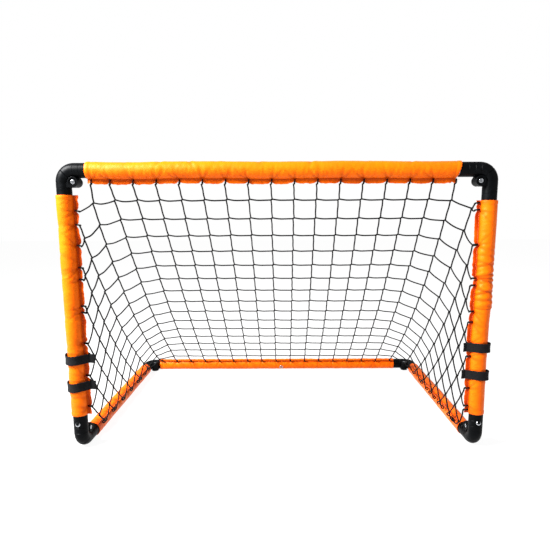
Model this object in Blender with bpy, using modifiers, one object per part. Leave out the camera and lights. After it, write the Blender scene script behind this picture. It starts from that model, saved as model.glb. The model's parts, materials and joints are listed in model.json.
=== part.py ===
"""Folding soccer goal frame: six steel tubes in fabric sleeves, six hinged elbows, straps and a net.

Metres, +Z up, +X to the right and +Y to the back. The origin is on the floor, in the middle of the
object's box. The crossbar and the two posts form the front frame, which folds back onto the base.
"""

import math

import bmesh
import bpy
from mathutils import Matrix, Vector

# Overall sizes, over the elbows
WIDTH = 0.892
HEIGHT = 0.6095
DEPTH = 0.5935

# Clearances
FIT_GAP = 0.0003  # between pieces that fit together
FLOOR_GAP = 0.0003  # under the base elbows, which the sleeves hold off the floor
CUT_OVERRUN = 0.010  # of a cutter, past the solid that it opens

# Steel tubes
TUBE_RADIUS = 0.0125
TUBE_WALL = 0.0008

# Elbows: each is two sockets that meet at a 45 degree seam and turn about a pin at the inner corner
SOCKET_WALL = 0.0022
SOCKET_PAST_BARREL = 0.0315  # straight part that runs on past the barrel
BORE_START = 0.005  # solid plastic between the bend and the tube's end
BARREL_RADIUS = 0.0105
BARREL_SINK = 0.0025  # depth of the barrel in the sockets' inner sides
KNUCKLE_GAP = 0.0005  # round the knuckles, radially
WEB_START = 0.0004  # of the webs under the knuckles, from the bend's end
TENON_HALF = 0.0048  # half the thickness of the middle knuckle
BARREL_HALF = 0.013  # half the length of the whole barrel
PIN_RADIUS = 0.003
PIN_HEAD_RADIUS = 0.0055
PIN_HEAD_HEIGHT = 0.0015
PIN_HEAD_RIM = 0.00075  # straight side under the dome
PIN_HEAD_FLAT = 0.0033  # radius of the flat on the dome
PIN_RECESS = 0.002  # depth of the pocket that holds the pin's head

# Fabric sleeves
SLEEVE_GAP = 0.0006  # from the elbow's socket to the fabric
SLEEVE_WALL = 0.0019  # the fabric with its folds and wrinkles
FLAP_WIDTH = 0.010  # stitched flap that the net hangs from
FLAP_THICKNESS = 0.002
FLAP_TILT = math.radians(45)  # of the flaps on the base, up from level
CROSSBAR_EXPOSED_LEFT = 0.015  # black socket that shows between an elbow's barrel and the sleeve
CROSSBAR_EXPOSED_RIGHT = 0.028
LEFT_POST_EXPOSED_TOP = 0.015
RIGHT_POST_EXPOSED_TOP = 0.028
POST_EXPOSED_BOTTOM = 0.030
SIDE_EXPOSED_FRONT = 0.0275
SIDE_EXPOSED_REAR = 0.0215
REAR_EXPOSED_LEFT = 0.0035
REAR_EXPOSED_RIGHT = 0.0215

# Straps round the posts
STRAP_WIDTH = 0.021
STRAP_THICKNESS = 0.0012
LEFT_STRAP_HEIGHTS = (0.145, 0.205)
RIGHT_STRAP_HEIGHTS = (0.1655, 0.226)

# Spring buttons that lock the posts in the front elbows
BUTTON_OFFSET = 0.0223  # along the post, from the elbow's pin
BUTTON_RADIUS = 0.0052
BUTTON_PROUD = 0.0035  # past the elbow's surface
BUTTON_STEM = 0.0010  # straight part that shows, under the dome
FLANGE_RADIUS = 0.0062
FLANGE_THICKNESS = 0.0012
FLANGE_GAP = 0.0004  # from the flange's edge to the tube's inner wall, along the button
SPRING_WIDTH = 0.008
SPRING_THICKNESS = 0.0006
SPRING_LENGTH = 0.030
SPRING_BEND_RADIUS = 0.0025
SPRING_PAD_HALF = 0.0043  # half the length behind the button
SPRING_TAIL = 0.0031  # how far the far leg runs past the button's axis
SPRING_SEAT = 0.0006  # from the strip to the flange, and to the tube's far wall
BEND_SIDES = 6

# Eyelet for a ground peg, in the front of the rear sleeve
EYELET_X = 0.005
EYELET_TILT = math.radians(-20)
EYELET_HOLE_RADIUS = 0.003
EYELET_BARREL_RADIUS = 0.004
EYELET_FLANGE_RADIUS = 0.006
EYELET_INNER_FLANGE_RADIUS = 0.005
EYELET_FLANGE = 0.0008
EYELET_RIM = 0.0005  # straight side of the outer flange

# Net
NET_THICKNESS = 0.001
NET_GAP = 0.0015  # from the flaps to the net's edge
NET_TOP_INSET = 0.030  # from the side panels to the top edge's ends, which clear the top elbows
NET_CORNER = 0.100  # height of the cut-off corners, from the crossbar
NET_TOE = 0.050  # of the cut-off corners over the front elbows

SIDES = 24  # facets round a tube
PIN_SIDES = 16
BEND_STEPS = 4
DOME_STEPS = 4

# Worked out from the sizes above
ELBOW_RADIUS = TUBE_RADIUS + FIT_GAP + SOCKET_WALL
HINGE_SETBACK = BARREL_RADIUS - BARREL_SINK  # from the pin's axis to the sockets' inner sides
BEND_RADIUS = ELBOW_RADIUS + HINGE_SETBACK
SOCKET_LENGTH = BARREL_RADIUS + SOCKET_PAST_BARREL
SLEEVE_BORE = ELBOW_RADIUS + SLEEVE_GAP
SLEEVE_RADIUS = SLEEVE_BORE + SLEEVE_WALL
FLAP_REACH = SLEEVE_RADIUS + FLAP_WIDTH
STRAP_BORE = SLEEVE_RADIUS + FIT_GAP
STRAP_RADIUS = STRAP_BORE + STRAP_THICKNESS
TUBE_END = BORE_START + FIT_GAP

POST_X = WIDTH / 2 - ELBOW_RADIUS
BASE_Z = ELBOW_RADIUS + FLOOR_GAP
TOP_Z = HEIGHT - ELBOW_RADIUS
FRONT_Y = -(DEPTH / 2 - ELBOW_RADIUS) + (STRAP_RADIUS - SLEEVE_RADIUS) / 2
REAR_Y = FRONT_Y + DEPTH - 2 * ELBOW_RADIUS

X, Y, Z = Vector((1, 0, 0)), Vector((0, 1, 0)), Vector((0, 0, 1))

ORANGE = ("orange_fabric", (0.93, 0.19, 0.01), 0.55, 0.0)
BLACK_PLASTIC = ("black_plastic", (0.012, 0.013, 0.015), 0.35, 0.0)
STEEL = ("tube_steel", (0.55, 0.56, 0.58), 0.30, 1.0)
ZINC = ("bright_zinc", (0.80, 0.81, 0.83), 0.22, 1.0)
WEBBING = ("black_webbing", (0.015, 0.015, 0.016), 0.80, 0.0)
CORD = ("black_cord", (0.010, 0.010, 0.011), 0.70, 0.0)


def clear_scene():
    for obj in list(bpy.data.objects):
        bpy.data.objects.remove(obj, do_unlink=True)


def new_collection(name):
    collection = bpy.data.collections.new(name)
    bpy.context.scene.collection.children.link(collection)
    return collection


def paint(obj, finish):
    """Gives the object its own Principled material."""
    name, colour, roughness, metallic = finish
    material = bpy.data.materials.new(f"{obj.name}_{name}")
    material.use_nodes = True
    shader = material.node_tree.nodes["Principled BSDF"]
    shader.inputs["Base Color"].default_value = (*colour, 1)
    shader.inputs["Roughness"].default_value = roughness
    shader.inputs["Metallic"].default_value = metallic
    obj.data.materials.clear()
    obj.data.materials.append(material)


def axes_matrix(origin, x_axis, y_axis):
    """A place whose local x and y run along the two given directions."""
    z_axis = x_axis.cross(y_axis)
    matrix = Matrix((x_axis, y_axis, z_axis)).transposed().to_4x4()
    matrix.translation = origin
    return matrix


def along(origin, direction, up):
    """A place whose local z runs along direction and local y towards up."""
    return axes_matrix(origin, up.cross(direction), up)


def add_part(name, mesh, matrix, finish):
    obj = bpy.data.objects.new(name, mesh)
    parts.objects.link(obj)
    obj.matrix_world = matrix
    paint(obj, finish)
    obj.data.shade_smooth()
    obj.data.set_sharp_from_angle(angle=math.radians(35))
    return obj


def add_cutter(name, mesh):
    obj = bpy.data.objects.new(name, mesh)
    cutters.objects.link(obj)
    obj.hide_render = True
    obj.display_type = "WIRE"
    return obj


def finished_mesh(obj, name):
    """The object's evaluated mesh, welded, in its own coordinates. The object is removed."""
    bpy.context.view_layer.update()
    graph = bpy.context.evaluated_depsgraph_get()
    mesh = bpy.data.meshes.new_from_object(obj.evaluated_get(graph))
    mesh.name = name
    bm = bmesh.new()
    bm.from_mesh(mesh)
    bmesh.ops.remove_doubles(bm, verts=bm.verts, dist=1e-6)
    bmesh.ops.recalc_face_normals(bm, faces=bm.faces)
    bm.to_mesh(mesh)
    bm.free()
    bpy.data.objects.remove(obj, do_unlink=True)
    return mesh


def combined(name, mesh, steps):
    """mesh after each (operation, mesh) step of exact Booleans."""
    body = add_cutter(name, mesh)
    tools = []
    for i, (operation, tool_mesh) in enumerate(steps):
        tool = add_cutter(f"{name}_tool_{i}", tool_mesh)
        modifier = body.modifiers.new(f"step_{i}", "BOOLEAN")
        modifier.operation = operation
        modifier.solver = "EXACT"
        modifier.object = tool
        tools.append(tool)
    result = finished_mesh(body, name)
    for tool in tools:
        bpy.data.objects.remove(tool, do_unlink=True)
    return result


def circle_points(radius, sides=SIDES):
    return [
        (radius * math.cos(math.tau * i / sides), radius * math.sin(math.tau * i / sides))
        for i in range(sides)
    ]


def arc_points(radius, start, end, steps):
    angles = [start + (end - start) * i / steps for i in range(steps + 1)]
    return [(radius * math.cos(a), radius * math.sin(a)) for a in angles]


def outline_mesh(name, outlines, length):
    """A flat outline with its holes, drawn in local x and y, of that length centred on local z."""
    curve = bpy.data.curves.new(name, "CURVE")
    curve.dimensions = "2D"
    curve.fill_mode = "BOTH"
    curve.extrude = length / 2
    for points in outlines:
        spline = curve.splines.new("POLY")
        spline.points.add(len(points) - 1)
        spline.use_cyclic_u = True
        for point, (x, y) in zip(spline.points, points):
            point.co = (x, y, 0, 1)
    return finished_mesh(add_cutter(name, curve), name)


def turned_mesh(name, profile, closed, sides=PIN_SIDES):
    """A profile of (radius, height) points turned about local z."""
    mesh = bpy.data.meshes.new(name)
    edges = [(i, i + 1) for i in range(len(profile) - 1)]
    if closed:
        edges.append((len(profile) - 1, 0))
    mesh.from_pydata([(r, 0, z) for r, z in profile], edges, [])
    obj = add_cutter(name, mesh)
    screw = obj.modifiers.new("turn", "SCREW")
    screw.steps = sides
    screw.render_steps = sides
    screw.use_merge_vertices = True
    screw.merge_threshold = 1e-6
    return finished_mesh(obj, name)


def cylinder_mesh(name, radius, low, high, matrix=None, sides=SIDES):
    """A cylinder along local z from low to high."""
    bm = bmesh.new()
    place = Matrix.Translation((0, 0, (low + high) / 2))
    bmesh.ops.create_cone(
        bm,
        cap_ends=True,
        segments=sides,
        radius1=radius,
        radius2=radius,
        depth=high - low,
        matrix=(matrix or Matrix()) @ place,
    )
    mesh = bpy.data.meshes.new(name)
    bm.to_mesh(mesh)
    bm.free()
    return mesh


# Elbows. In an elbow's own frame the pin runs along z through the origin. Leg A runs along +x at
# y = -BEND_RADIUS and leg B along +y at x = -BEND_RADIUS; the bend between them is round the pin.


def bent_leg_mesh():
    """Leg A, solid: half the bend, from the seam, and the straight socket."""
    seam_gap = FIT_GAP / 2 / BEND_RADIUS
    bm = bmesh.new()
    ring = bmesh.ops.create_circle(
        bm,
        segments=SIDES,
        radius=ELBOW_RADIUS,
        matrix=Matrix.Rotation(math.radians(-135) + seam_gap, 4, "Z")
        @ Matrix.Translation((BEND_RADIUS, 0, 0))
        @ Matrix.Rotation(math.radians(90), 4, "X"),
    )
    edges = list({edge for vert in ring["verts"] for edge in vert.link_edges})
    turned = bmesh.ops.spin(
        bm,
        geom=ring["verts"] + edges,
        axis=(0, 0, 1),
        cent=(0, 0, 0),
        angle=math.radians(45) - seam_gap,
        steps=BEND_STEPS,
    )
    last = [item for item in turned["geom_last"] if isinstance(item, bmesh.types.BMEdge)]
    pulled = bmesh.ops.extrude_edge_only(bm, edges=last)["geom"]
    verts = [item for item in pulled if isinstance(item, bmesh.types.BMVert)]
    bmesh.ops.translate(bm, verts=verts, vec=(SOCKET_LENGTH, 0, 0))
    rims = [edge for edge in bm.edges if edge.is_boundary]
    bmesh.ops.holes_fill(bm, edges=rims, sides=0)
    bmesh.ops.recalc_face_normals(bm, faces=bm.faces)
    mesh = bpy.data.meshes.new("bent_leg")
    bm.to_mesh(mesh)
    bm.free()
    return mesh


def socket_bore_mesh():
    matrix = Matrix.Translation((0, -BEND_RADIUS, 0)) @ Matrix.Rotation(math.pi / 2, 4, "Y")
    return cylinder_mesh(
        "socket_bore", TUBE_RADIUS + FIT_GAP, BORE_START, SOCKET_LENGTH + CUT_OVERRUN, matrix
    )


def pin_bore_mesh():
    return cylinder_mesh(
        "pin_bore", PIN_RADIUS + FIT_GAP, -2 * BARREL_HALF, 2 * BARREL_HALF, sides=PIN_SIDES
    )


def knuckle_mesh(name, low, high):
    """A knuckle with the web that joins it to leg A, between two places along the pin."""
    outline = arc_points(BARREL_RADIUS, 0, math.pi * 3 / 2, SIDES * 3 // 4)
    outline += [(WEB_START, -BARREL_RADIUS), (WEB_START, -BEND_RADIUS)]
    outline += [(BARREL_RADIUS, -BEND_RADIUS)]
    mesh = outline_mesh(name, [outline], high - low)
    mesh.transform(Matrix.Translation((0, 0, (low + high) / 2)))
    return mesh


def tenon_half_mesh():
    """The half with the middle knuckle, on leg A."""
    clear = BARREL_RADIUS + KNUCKLE_GAP
    outer = BARREL_HALF + FIT_GAP
    return combined(
        "elbow_tenon_half",
        bent_leg_mesh(),
        [
            ("DIFFERENCE", cylinder_mesh("cheek_space_top", clear, TENON_HALF, outer)),
            ("DIFFERENCE", cylinder_mesh("cheek_space_low", clear, -outer, -TENON_HALF)),
            ("UNION", knuckle_mesh("tenon", -TENON_HALF, TENON_HALF)),
            ("DIFFERENCE", pin_bore_mesh()),
            ("DIFFERENCE", socket_bore_mesh()),
        ],
    )


def fork_half_mesh(name, extra=()):
    """The half with the two outer knuckles. It is drawn on leg A and turned over onto leg B."""
    clear = BARREL_RADIUS + KNUCKLE_GAP
    inner = TENON_HALF + FIT_GAP
    steps = [*extra, ("DIFFERENCE", cylinder_mesh("tenon_space", clear, -inner, inner))]
    for side in (-1, 1):
        low, high = sorted((side * inner, side * BARREL_HALF))
        pocket_floor, past = side * (BARREL_HALF - PIN_RECESS), side * 2 * BARREL_HALF
        pocket_low, pocket_high = sorted((pocket_floor, past))
        pocket = cylinder_mesh(
            "head_pocket", PIN_HEAD_RADIUS + FIT_GAP, pocket_low, pocket_high, sides=PIN_SIDES
        )
        steps += [("UNION", knuckle_mesh("cheek", low, high)), ("DIFFERENCE", pocket)]
    steps += [("DIFFERENCE", pin_bore_mesh()), ("DIFFERENCE", socket_bore_mesh())]
    return combined(name, bent_leg_mesh(), steps)


def pin_mesh():
    """A rivet with a low domed head at each end."""
    seat = BARREL_HALF - PIN_RECESS + FIT_GAP
    top = seat + PIN_HEAD_HEIGHT
    half = [(0, top), (PIN_HEAD_FLAT, top), (PIN_HEAD_RADIUS, seat + PIN_HEAD_RIM)]
    half += [(PIN_HEAD_RADIUS, seat), (PIN_RADIUS, seat)]
    profile = half + [(r, -z) for r, z in reversed(half)]
    return turned_mesh("hinge_pin", profile, closed=False)


# Leg A, leg B and the pin's place of each elbow. Leg A points along the first direction and
# leg B along the second.
ELBOWS = {
    "top_left": (Vector((-POST_X + BEND_RADIUS, FRONT_Y, TOP_Z - BEND_RADIUS)), X, -Z),
    "top_right": (Vector((POST_X - BEND_RADIUS, FRONT_Y, TOP_Z - BEND_RADIUS)), -X, -Z),
    "front_left": (Vector((-POST_X, FRONT_Y + BEND_RADIUS, BASE_Z + BEND_RADIUS)), Y, Z),
    "front_right": (Vector((POST_X, FRONT_Y + BEND_RADIUS, BASE_Z + BEND_RADIUS)), Y, Z),
    "rear_left": (Vector((-POST_X + BEND_RADIUS, REAR_Y - BEND_RADIUS, BASE_Z)), -Y, X),
    "rear_right": (Vector((POST_X - BEND_RADIUS, REAR_Y - BEND_RADIUS, BASE_Z)), -Y, -X),
}
LEG_NAMES = {"top": ("bar", "post"), "front": ("base", "post"), "rear": ("side", "bar")}


def button_hole_mesh():
    """Through the outer wall of the front elbow's post half, on leg A before it is turned over."""
    matrix = Matrix.Translation((BUTTON_OFFSET, -BEND_RADIUS, 0))
    matrix @= Matrix.Rotation(math.pi / 2, 4, "X")
    return cylinder_mesh(
        "button_hole", BUTTON_RADIUS + FIT_GAP, 0, 2 * ELBOW_RADIUS, matrix, PIN_SIDES
    )


def make_elbows():
    tenon_half = tenon_half_mesh()
    fork_half = fork_half_mesh("elbow_fork_half")
    locking_half = fork_half_mesh(
        "elbow_locking_half", [("DIFFERENCE", button_hole_mesh())]
    )
    pin = pin_mesh()
    for place, (pin_at, leg_a, leg_b) in ELBOWS.items():
        row = place.split("_")[0]
        first, second = LEG_NAMES[row]
        fork = locking_half if row == "front" else fork_half
        elbow = axes_matrix(pin_at, leg_a, leg_b)
        turned_over = axes_matrix(pin_at, leg_b, leg_a)
        add_part(f"{place}_elbow_{first}_half", tenon_half.copy(), elbow, BLACK_PLASTIC)
        add_part(f"{place}_elbow_{second}_half", fork.copy(), turned_over, BLACK_PLASTIC)
        add_part(f"{place}_hinge_pin", pin.copy(), elbow, ZINC)


# Tubes


def leg_start(place, leg, distance):
    """The point on a leg's centreline this far past the pin. leg is 0 for leg A and 1 for leg B."""
    pin_at, *legs = ELBOWS[place]
    return pin_at + legs[leg] * distance - legs[1 - leg] * BEND_RADIUS


def button_place(side):
    """Centre of the post's tube at the lock button, with local z to the front and y up."""
    centre = leg_start(f"front_{side}", 1, BUTTON_OFFSET)
    return along(centre, -Y, Z)


def make_tube(name, start, end, up, holes=()):
    rings = [circle_points(TUBE_RADIUS), circle_points(TUBE_RADIUS - TUBE_WALL)]
    length = (end - start).length
    mesh = outline_mesh(name, rings, length)
    matrix = along((start + end) / 2, (end - start).normalized(), up)
    if holes:
        cuts = []
        for hole in holes:
            cut = cylinder_mesh(
                "tube_hole", BUTTON_RADIUS + FIT_GAP, 0, 2 * TUBE_RADIUS,
                matrix.inverted() @ hole, PIN_SIDES,
            )
            cuts.append(("DIFFERENCE", cut))
        mesh = combined(name, mesh, cuts)
    return add_part(name, mesh, matrix, STEEL)


def make_tubes():
    left, right = "front_left", "front_right"
    make_tube(
        "crossbar_tube",
        leg_start("top_left", 0, TUBE_END), leg_start("top_right", 0, TUBE_END), Z,
    )
    for side, front in (("left", left), ("right", right)):
        make_tube(
            f"{side}_post_tube",
            leg_start(front, 1, TUBE_END), leg_start(f"top_{side}", 1, TUBE_END), Y,
            [button_place(side)],
        )
        make_tube(
            f"{side}_side_tube",
            leg_start(front, 0, TUBE_END), leg_start(f"rear_{side}", 0, TUBE_END), Z,
        )
    make_tube(
        "rear_tube",
        leg_start("rear_left", 1, TUBE_END), leg_start("rear_right", 1, TUBE_END), Z,
    )


# Sleeves. A sleeve's outline is drawn with its flap along the angle given, from local x.


def flapped_ring(radius, bore, flap):
    """A round sleeve with a straight flap, and its bore."""
    half = math.asin(FLAP_THICKNESS / 2 / radius)
    outer = arc_points(radius, flap + half, flap - half + math.tau, SIDES - 1)
    outer += flap_tip(flap)
    return [outer, circle_points(bore)]


def flap_tip(flap):
    """The two corners at the flap's free edge, clockwise side first."""
    reach, half = FLAP_REACH, FLAP_THICKNESS / 2
    direction = Vector((math.cos(flap), math.sin(flap)))
    across = Vector((-direction.y, direction.x))
    return [tuple(direction * reach + across * s * half) for s in (-1, 1)]


def floor_ring(radius, bore, flap):
    """The same, pressed flat where it lies on the floor and open in the middle of that."""
    half = math.asin(FLAP_THICKNESS / 2 / radius)
    low = -math.asin(BASE_Z / radius)
    low_inside = -math.asin(BASE_Z / bore)
    outline = arc_points(radius, low, flap - half, SIDES // 3)
    outline += flap_tip(flap)
    outline += arc_points(radius, flap + half, math.pi - low, SIDES // 2)
    outline += arc_points(bore, math.pi - low_inside, low_inside, SIDES)
    return [outline]


def make_sleeve(name, start, end, up, ring, flap, holes=()):
    """start and end are points on the tube's centreline. up is the ring's local y."""
    mesh = outline_mesh(name, ring(SLEEVE_RADIUS, SLEEVE_BORE, flap), (end - start).length)
    matrix = along((start + end) / 2, (end - start).normalized(), up)
    if holes:
        cuts = [("DIFFERENCE", cut) for cut in holes]
        for _, cut in cuts:
            cut.transform(matrix.inverted())
        mesh = combined(name, mesh, cuts)
    return add_part(name, mesh, matrix, ORANGE)


def eyelet_place():
    """On the rear tube's axis, with local z out through the eyelet."""
    out = Matrix.Rotation(-EYELET_TILT, 3, "X") @ -Y
    return along(Vector((EYELET_X, REAR_Y, BASE_Z)), out, X)


def past_barrel(place, leg, exposed):
    """The centreline point this far past the side of the elbow's barrel."""
    return leg_start(place, leg, BARREL_RADIUS + exposed)


def make_sleeves():
    down = -math.pi / 2
    make_sleeve(
        "crossbar_sleeve",
        past_barrel("top_left", 0, CROSSBAR_EXPOSED_LEFT),
        past_barrel("top_right", 0, CROSSBAR_EXPOSED_RIGHT),
        Z, flapped_ring, down,
    )
    tops = {"left": LEFT_POST_EXPOSED_TOP, "right": RIGHT_POST_EXPOSED_TOP}
    for side, inward in (("left", X), ("right", -X)):
        make_sleeve(
            f"{side}_post_sleeve",
            past_barrel(f"front_{side}", 1, POST_EXPOSED_BOTTOM),
            past_barrel(f"top_{side}", 1, tops[side]),
            -inward, flapped_ring, down,
        )
        front_end = past_barrel(f"front_{side}", 0, SIDE_EXPOSED_FRONT)
        rear_end = past_barrel(f"rear_{side}", 0, SIDE_EXPOSED_REAR)
        ends = (front_end, rear_end) if side == "right" else (rear_end, front_end)
        make_sleeve(f"{side}_side_sleeve", *ends, Z, floor_ring, FLAP_TILT)
    hole = cylinder_mesh(
        "eyelet_hole", EYELET_BARREL_RADIUS + FIT_GAP, TUBE_RADIUS, 2 * SLEEVE_RADIUS,
        eyelet_place(), PIN_SIDES,
    )
    make_sleeve(
        "rear_sleeve",
        past_barrel("rear_right", 1, REAR_EXPOSED_RIGHT),
        past_barrel("rear_left", 1, REAR_EXPOSED_LEFT),
        Z, floor_ring, FLAP_TILT, [hole],
    )


def make_eyelet():
    """A grommet, clinched through the sleeve's wall."""
    out = SLEEVE_RADIUS + FIT_GAP
    inside = math.sqrt(SLEEVE_BORE**2 - EYELET_INNER_FLANGE_RADIUS**2) - 2 * FIT_GAP
    profile = [
        (EYELET_HOLE_RADIUS, out + EYELET_FLANGE),
        (EYELET_FLANGE_RADIUS, out + EYELET_RIM),
        (EYELET_FLANGE_RADIUS, out),
        (EYELET_BARREL_RADIUS, out),
        (EYELET_BARREL_RADIUS, inside),
        (EYELET_INNER_FLANGE_RADIUS, inside),
        (EYELET_INNER_FLANGE_RADIUS, inside - EYELET_FLANGE),
        (EYELET_HOLE_RADIUS, inside - EYELET_FLANGE),
    ]
    add_part("peg_eyelet", turned_mesh("peg_eyelet", profile, closed=True), eyelet_place(), ZINC)


# Straps


def strap_ring(radius, tip, half):
    """Round the sleeve and its flap: an arc, and two tangents to the flap's edge. Local x is the flap."""
    spread = math.acos(radius / tip)
    return arc_points(radius, spread, math.tau - spread, SIDES) + [(tip, -half), (tip, half)]


def make_straps():
    tip, half = FLAP_REACH + FIT_GAP, FLAP_THICKNESS / 2 + FIT_GAP
    outlines = [
        strap_ring(STRAP_RADIUS, tip + STRAP_THICKNESS, half + STRAP_THICKNESS),
        strap_ring(STRAP_BORE, tip, half),
    ]
    mesh = outline_mesh("strap", outlines, STRAP_WIDTH)
    places = (("left", -POST_X, X, LEFT_STRAP_HEIGHTS), ("right", POST_X, -X, RIGHT_STRAP_HEIGHTS))
    for side, x, inward, heights in places:
        for level, height in zip(("lower", "upper"), heights):
            matrix = axes_matrix(Vector((x, FRONT_Y, height)), inward, Z.cross(inward))
            add_part(f"{side}_{level}_strap", mesh.copy(), matrix, WEBBING)


# Lock buttons and their springs


def button_seat():
    """How far the flange's front stands from the tube's axis: where its edge meets the wall."""
    return math.sqrt((TUBE_RADIUS - TUBE_WALL) ** 2 - FLANGE_RADIUS**2) - FLANGE_GAP


def make_lock_buttons():
    seat = button_seat()
    shoulder = ELBOW_RADIUS + BUTTON_STEM
    dome = BUTTON_PROUD - BUTTON_STEM
    profile = [
        (BUTTON_RADIUS * math.sin(math.pi / 2 * i / DOME_STEPS),
         shoulder + dome * math.cos(math.pi / 2 * i / DOME_STEPS))
        for i in range(DOME_STEPS + 1)
    ]
    profile += [
        (BUTTON_RADIUS, seat),
        (FLANGE_RADIUS, seat),
        (FLANGE_RADIUS, seat - FLANGE_THICKNESS),
        (0, seat - FLANGE_THICKNESS),
    ]
    mesh = turned_mesh("lock_button", profile, closed=False)
    for side in ("left", "right"):
        add_part(f"{side}_lock_button", mesh.copy(), button_place(side), ZINC)


def spring_mesh():
    """A hairpin strip in the tube: a pad behind the button, up to a bend, and down the far wall."""
    pad = button_seat() - FLANGE_THICKNESS - SPRING_SEAT - SPRING_THICKNESS / 2
    wall = math.sqrt((TUBE_RADIUS - TUBE_WALL) ** 2 - (SPRING_WIDTH / 2) ** 2)
    back = -(wall - SPRING_SEAT - SPRING_THICKNESS / 2)
    bend = SPRING_BEND_RADIUS
    path = [(pad, -SPRING_PAD_HALF), (pad, SPRING_PAD_HALF)]
    turn = arc_points(bend, 0, math.pi, BEND_SIDES)
    path += [(back + bend + x, SPRING_LENGTH + y) for x, y in turn]
    path += [(back, -SPRING_TAIL)]
    mesh = bpy.data.meshes.new("lock_spring")
    bm = bmesh.new()
    left = [bm.verts.new((-SPRING_WIDTH / 2, y, z)) for z, y in path]
    edges = [bm.edges.new(pair) for pair in zip(left, left[1:])]
    pulled = bmesh.ops.extrude_edge_only(bm, edges=edges)["geom"]
    verts = [item for item in pulled if isinstance(item, bmesh.types.BMVert)]
    bmesh.ops.translate(bm, verts=verts, vec=(SPRING_WIDTH, 0, 0))
    bm.to_mesh(mesh)
    bm.free()
    obj = add_cutter("lock_spring", mesh)
    solidify = obj.modifiers.new("strip", "SOLIDIFY")
    solidify.thickness = SPRING_THICKNESS
    solidify.offset = 0
    solidify.use_even_offset = True
    return finished_mesh(obj, "lock_spring")


def make_lock_springs():
    mesh = spring_mesh()
    for side in ("left", "right"):
        add_part(f"{side}_lock_spring", mesh.copy(), button_place(side), STEEL)


# Net


def make_net():
    """One sheet: a triangle on each side and the slope from the crossbar down to the rear bar."""
    side_x = POST_X - FLAP_REACH - NET_GAP
    top_z = TOP_Z - FLAP_REACH - NET_GAP
    flap_rise = FLAP_REACH * math.sin(FLAP_TILT)
    flap_run = FLAP_REACH * math.cos(FLAP_TILT)
    low_z = BASE_Z + flap_rise + NET_GAP + NET_THICKNESS
    rear_y = REAR_Y - flap_run - NET_GAP
    shoulder_z = top_z - NET_CORNER
    shoulder_y = FRONT_Y + (rear_y - FRONT_Y) * NET_CORNER / (top_z - low_z)
    front_y = FRONT_Y + FLAP_THICKNESS + STRAP_THICKNESS + 2 * NET_GAP
    bm = bmesh.new()
    corners = {}
    for side in (-1, 1):
        corners[side] = {
            "top": bm.verts.new((side * (side_x - NET_TOP_INSET), FRONT_Y, top_z)),
            "shoulder": bm.verts.new((side * side_x, shoulder_y, shoulder_z)),
            "rear": bm.verts.new((side * side_x, rear_y, low_z)),
            "front_low": bm.verts.new((side * side_x, front_y + NET_TOE, low_z)),
            "front_toe": bm.verts.new((side * side_x, front_y, low_z + NET_TOE)),
            "front_top": bm.verts.new((side * side_x, front_y, shoulder_z)),
        }
    left, right = corners[-1], corners[1]
    bm.faces.new([left[k] for k in ("top", "shoulder", "rear")]
                 + [right[k] for k in ("rear", "shoulder", "top")])
    for side in (left, right):
        keys = ("shoulder", "rear", "front_low", "front_toe", "front_top")
        bm.faces.new([side[k] for k in keys])
    bmesh.ops.recalc_face_normals(bm, faces=bm.faces)
    mesh = bpy.data.meshes.new("net")
    bm.to_mesh(mesh)
    bm.free()
    obj = add_cutter("net_sheet", mesh)
    solidify = obj.modifiers.new("sheet", "SOLIDIFY")
    solidify.thickness = NET_THICKNESS
    solidify.offset = 0
    solidify.use_even_offset = True
    add_part("net", finished_mesh(obj, "net"), Matrix(), CORD)


clear_scene()
parts = new_collection("soccer_goal_frame")
cutters = new_collection("cutters")
make_elbows()
make_tubes()
make_sleeves()
make_eyelet()
make_straps()
make_lock_buttons()
make_lock_springs()
make_net()
bpy.context.view_layer.update()
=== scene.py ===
import json
import math
import random

import bmesh
import bpy
import numpy as np
from mathutils import Matrix, Vector, noise


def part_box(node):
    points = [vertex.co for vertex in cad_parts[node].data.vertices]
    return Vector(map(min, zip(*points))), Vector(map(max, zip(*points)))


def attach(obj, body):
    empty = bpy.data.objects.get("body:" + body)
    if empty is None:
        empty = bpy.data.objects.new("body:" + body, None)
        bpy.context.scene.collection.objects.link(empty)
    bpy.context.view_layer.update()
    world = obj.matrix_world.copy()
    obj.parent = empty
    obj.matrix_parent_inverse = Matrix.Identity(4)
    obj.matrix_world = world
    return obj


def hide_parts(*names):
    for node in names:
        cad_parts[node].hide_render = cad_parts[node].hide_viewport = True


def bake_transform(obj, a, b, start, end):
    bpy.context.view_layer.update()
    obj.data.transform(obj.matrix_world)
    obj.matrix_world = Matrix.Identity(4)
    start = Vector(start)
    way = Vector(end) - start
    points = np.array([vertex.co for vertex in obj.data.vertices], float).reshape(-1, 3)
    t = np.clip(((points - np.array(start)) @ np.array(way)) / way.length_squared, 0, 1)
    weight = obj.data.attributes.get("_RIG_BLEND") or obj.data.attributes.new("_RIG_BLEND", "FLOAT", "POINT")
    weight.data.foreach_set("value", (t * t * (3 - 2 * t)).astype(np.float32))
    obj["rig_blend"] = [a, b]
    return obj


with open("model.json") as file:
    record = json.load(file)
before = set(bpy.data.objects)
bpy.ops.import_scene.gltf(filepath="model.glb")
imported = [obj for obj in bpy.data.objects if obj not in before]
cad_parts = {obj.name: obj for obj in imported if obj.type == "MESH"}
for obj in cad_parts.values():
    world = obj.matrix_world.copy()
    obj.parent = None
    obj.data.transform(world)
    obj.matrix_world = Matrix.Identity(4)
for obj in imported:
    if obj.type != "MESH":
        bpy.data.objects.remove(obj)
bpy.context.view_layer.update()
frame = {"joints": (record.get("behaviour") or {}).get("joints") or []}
rng = random.Random(7)
print("frame loaded")

X, Y, Z = Vector((1, 0, 0)), Vector((0, 1, 0)), Vector((0, 0, 1))


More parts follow.
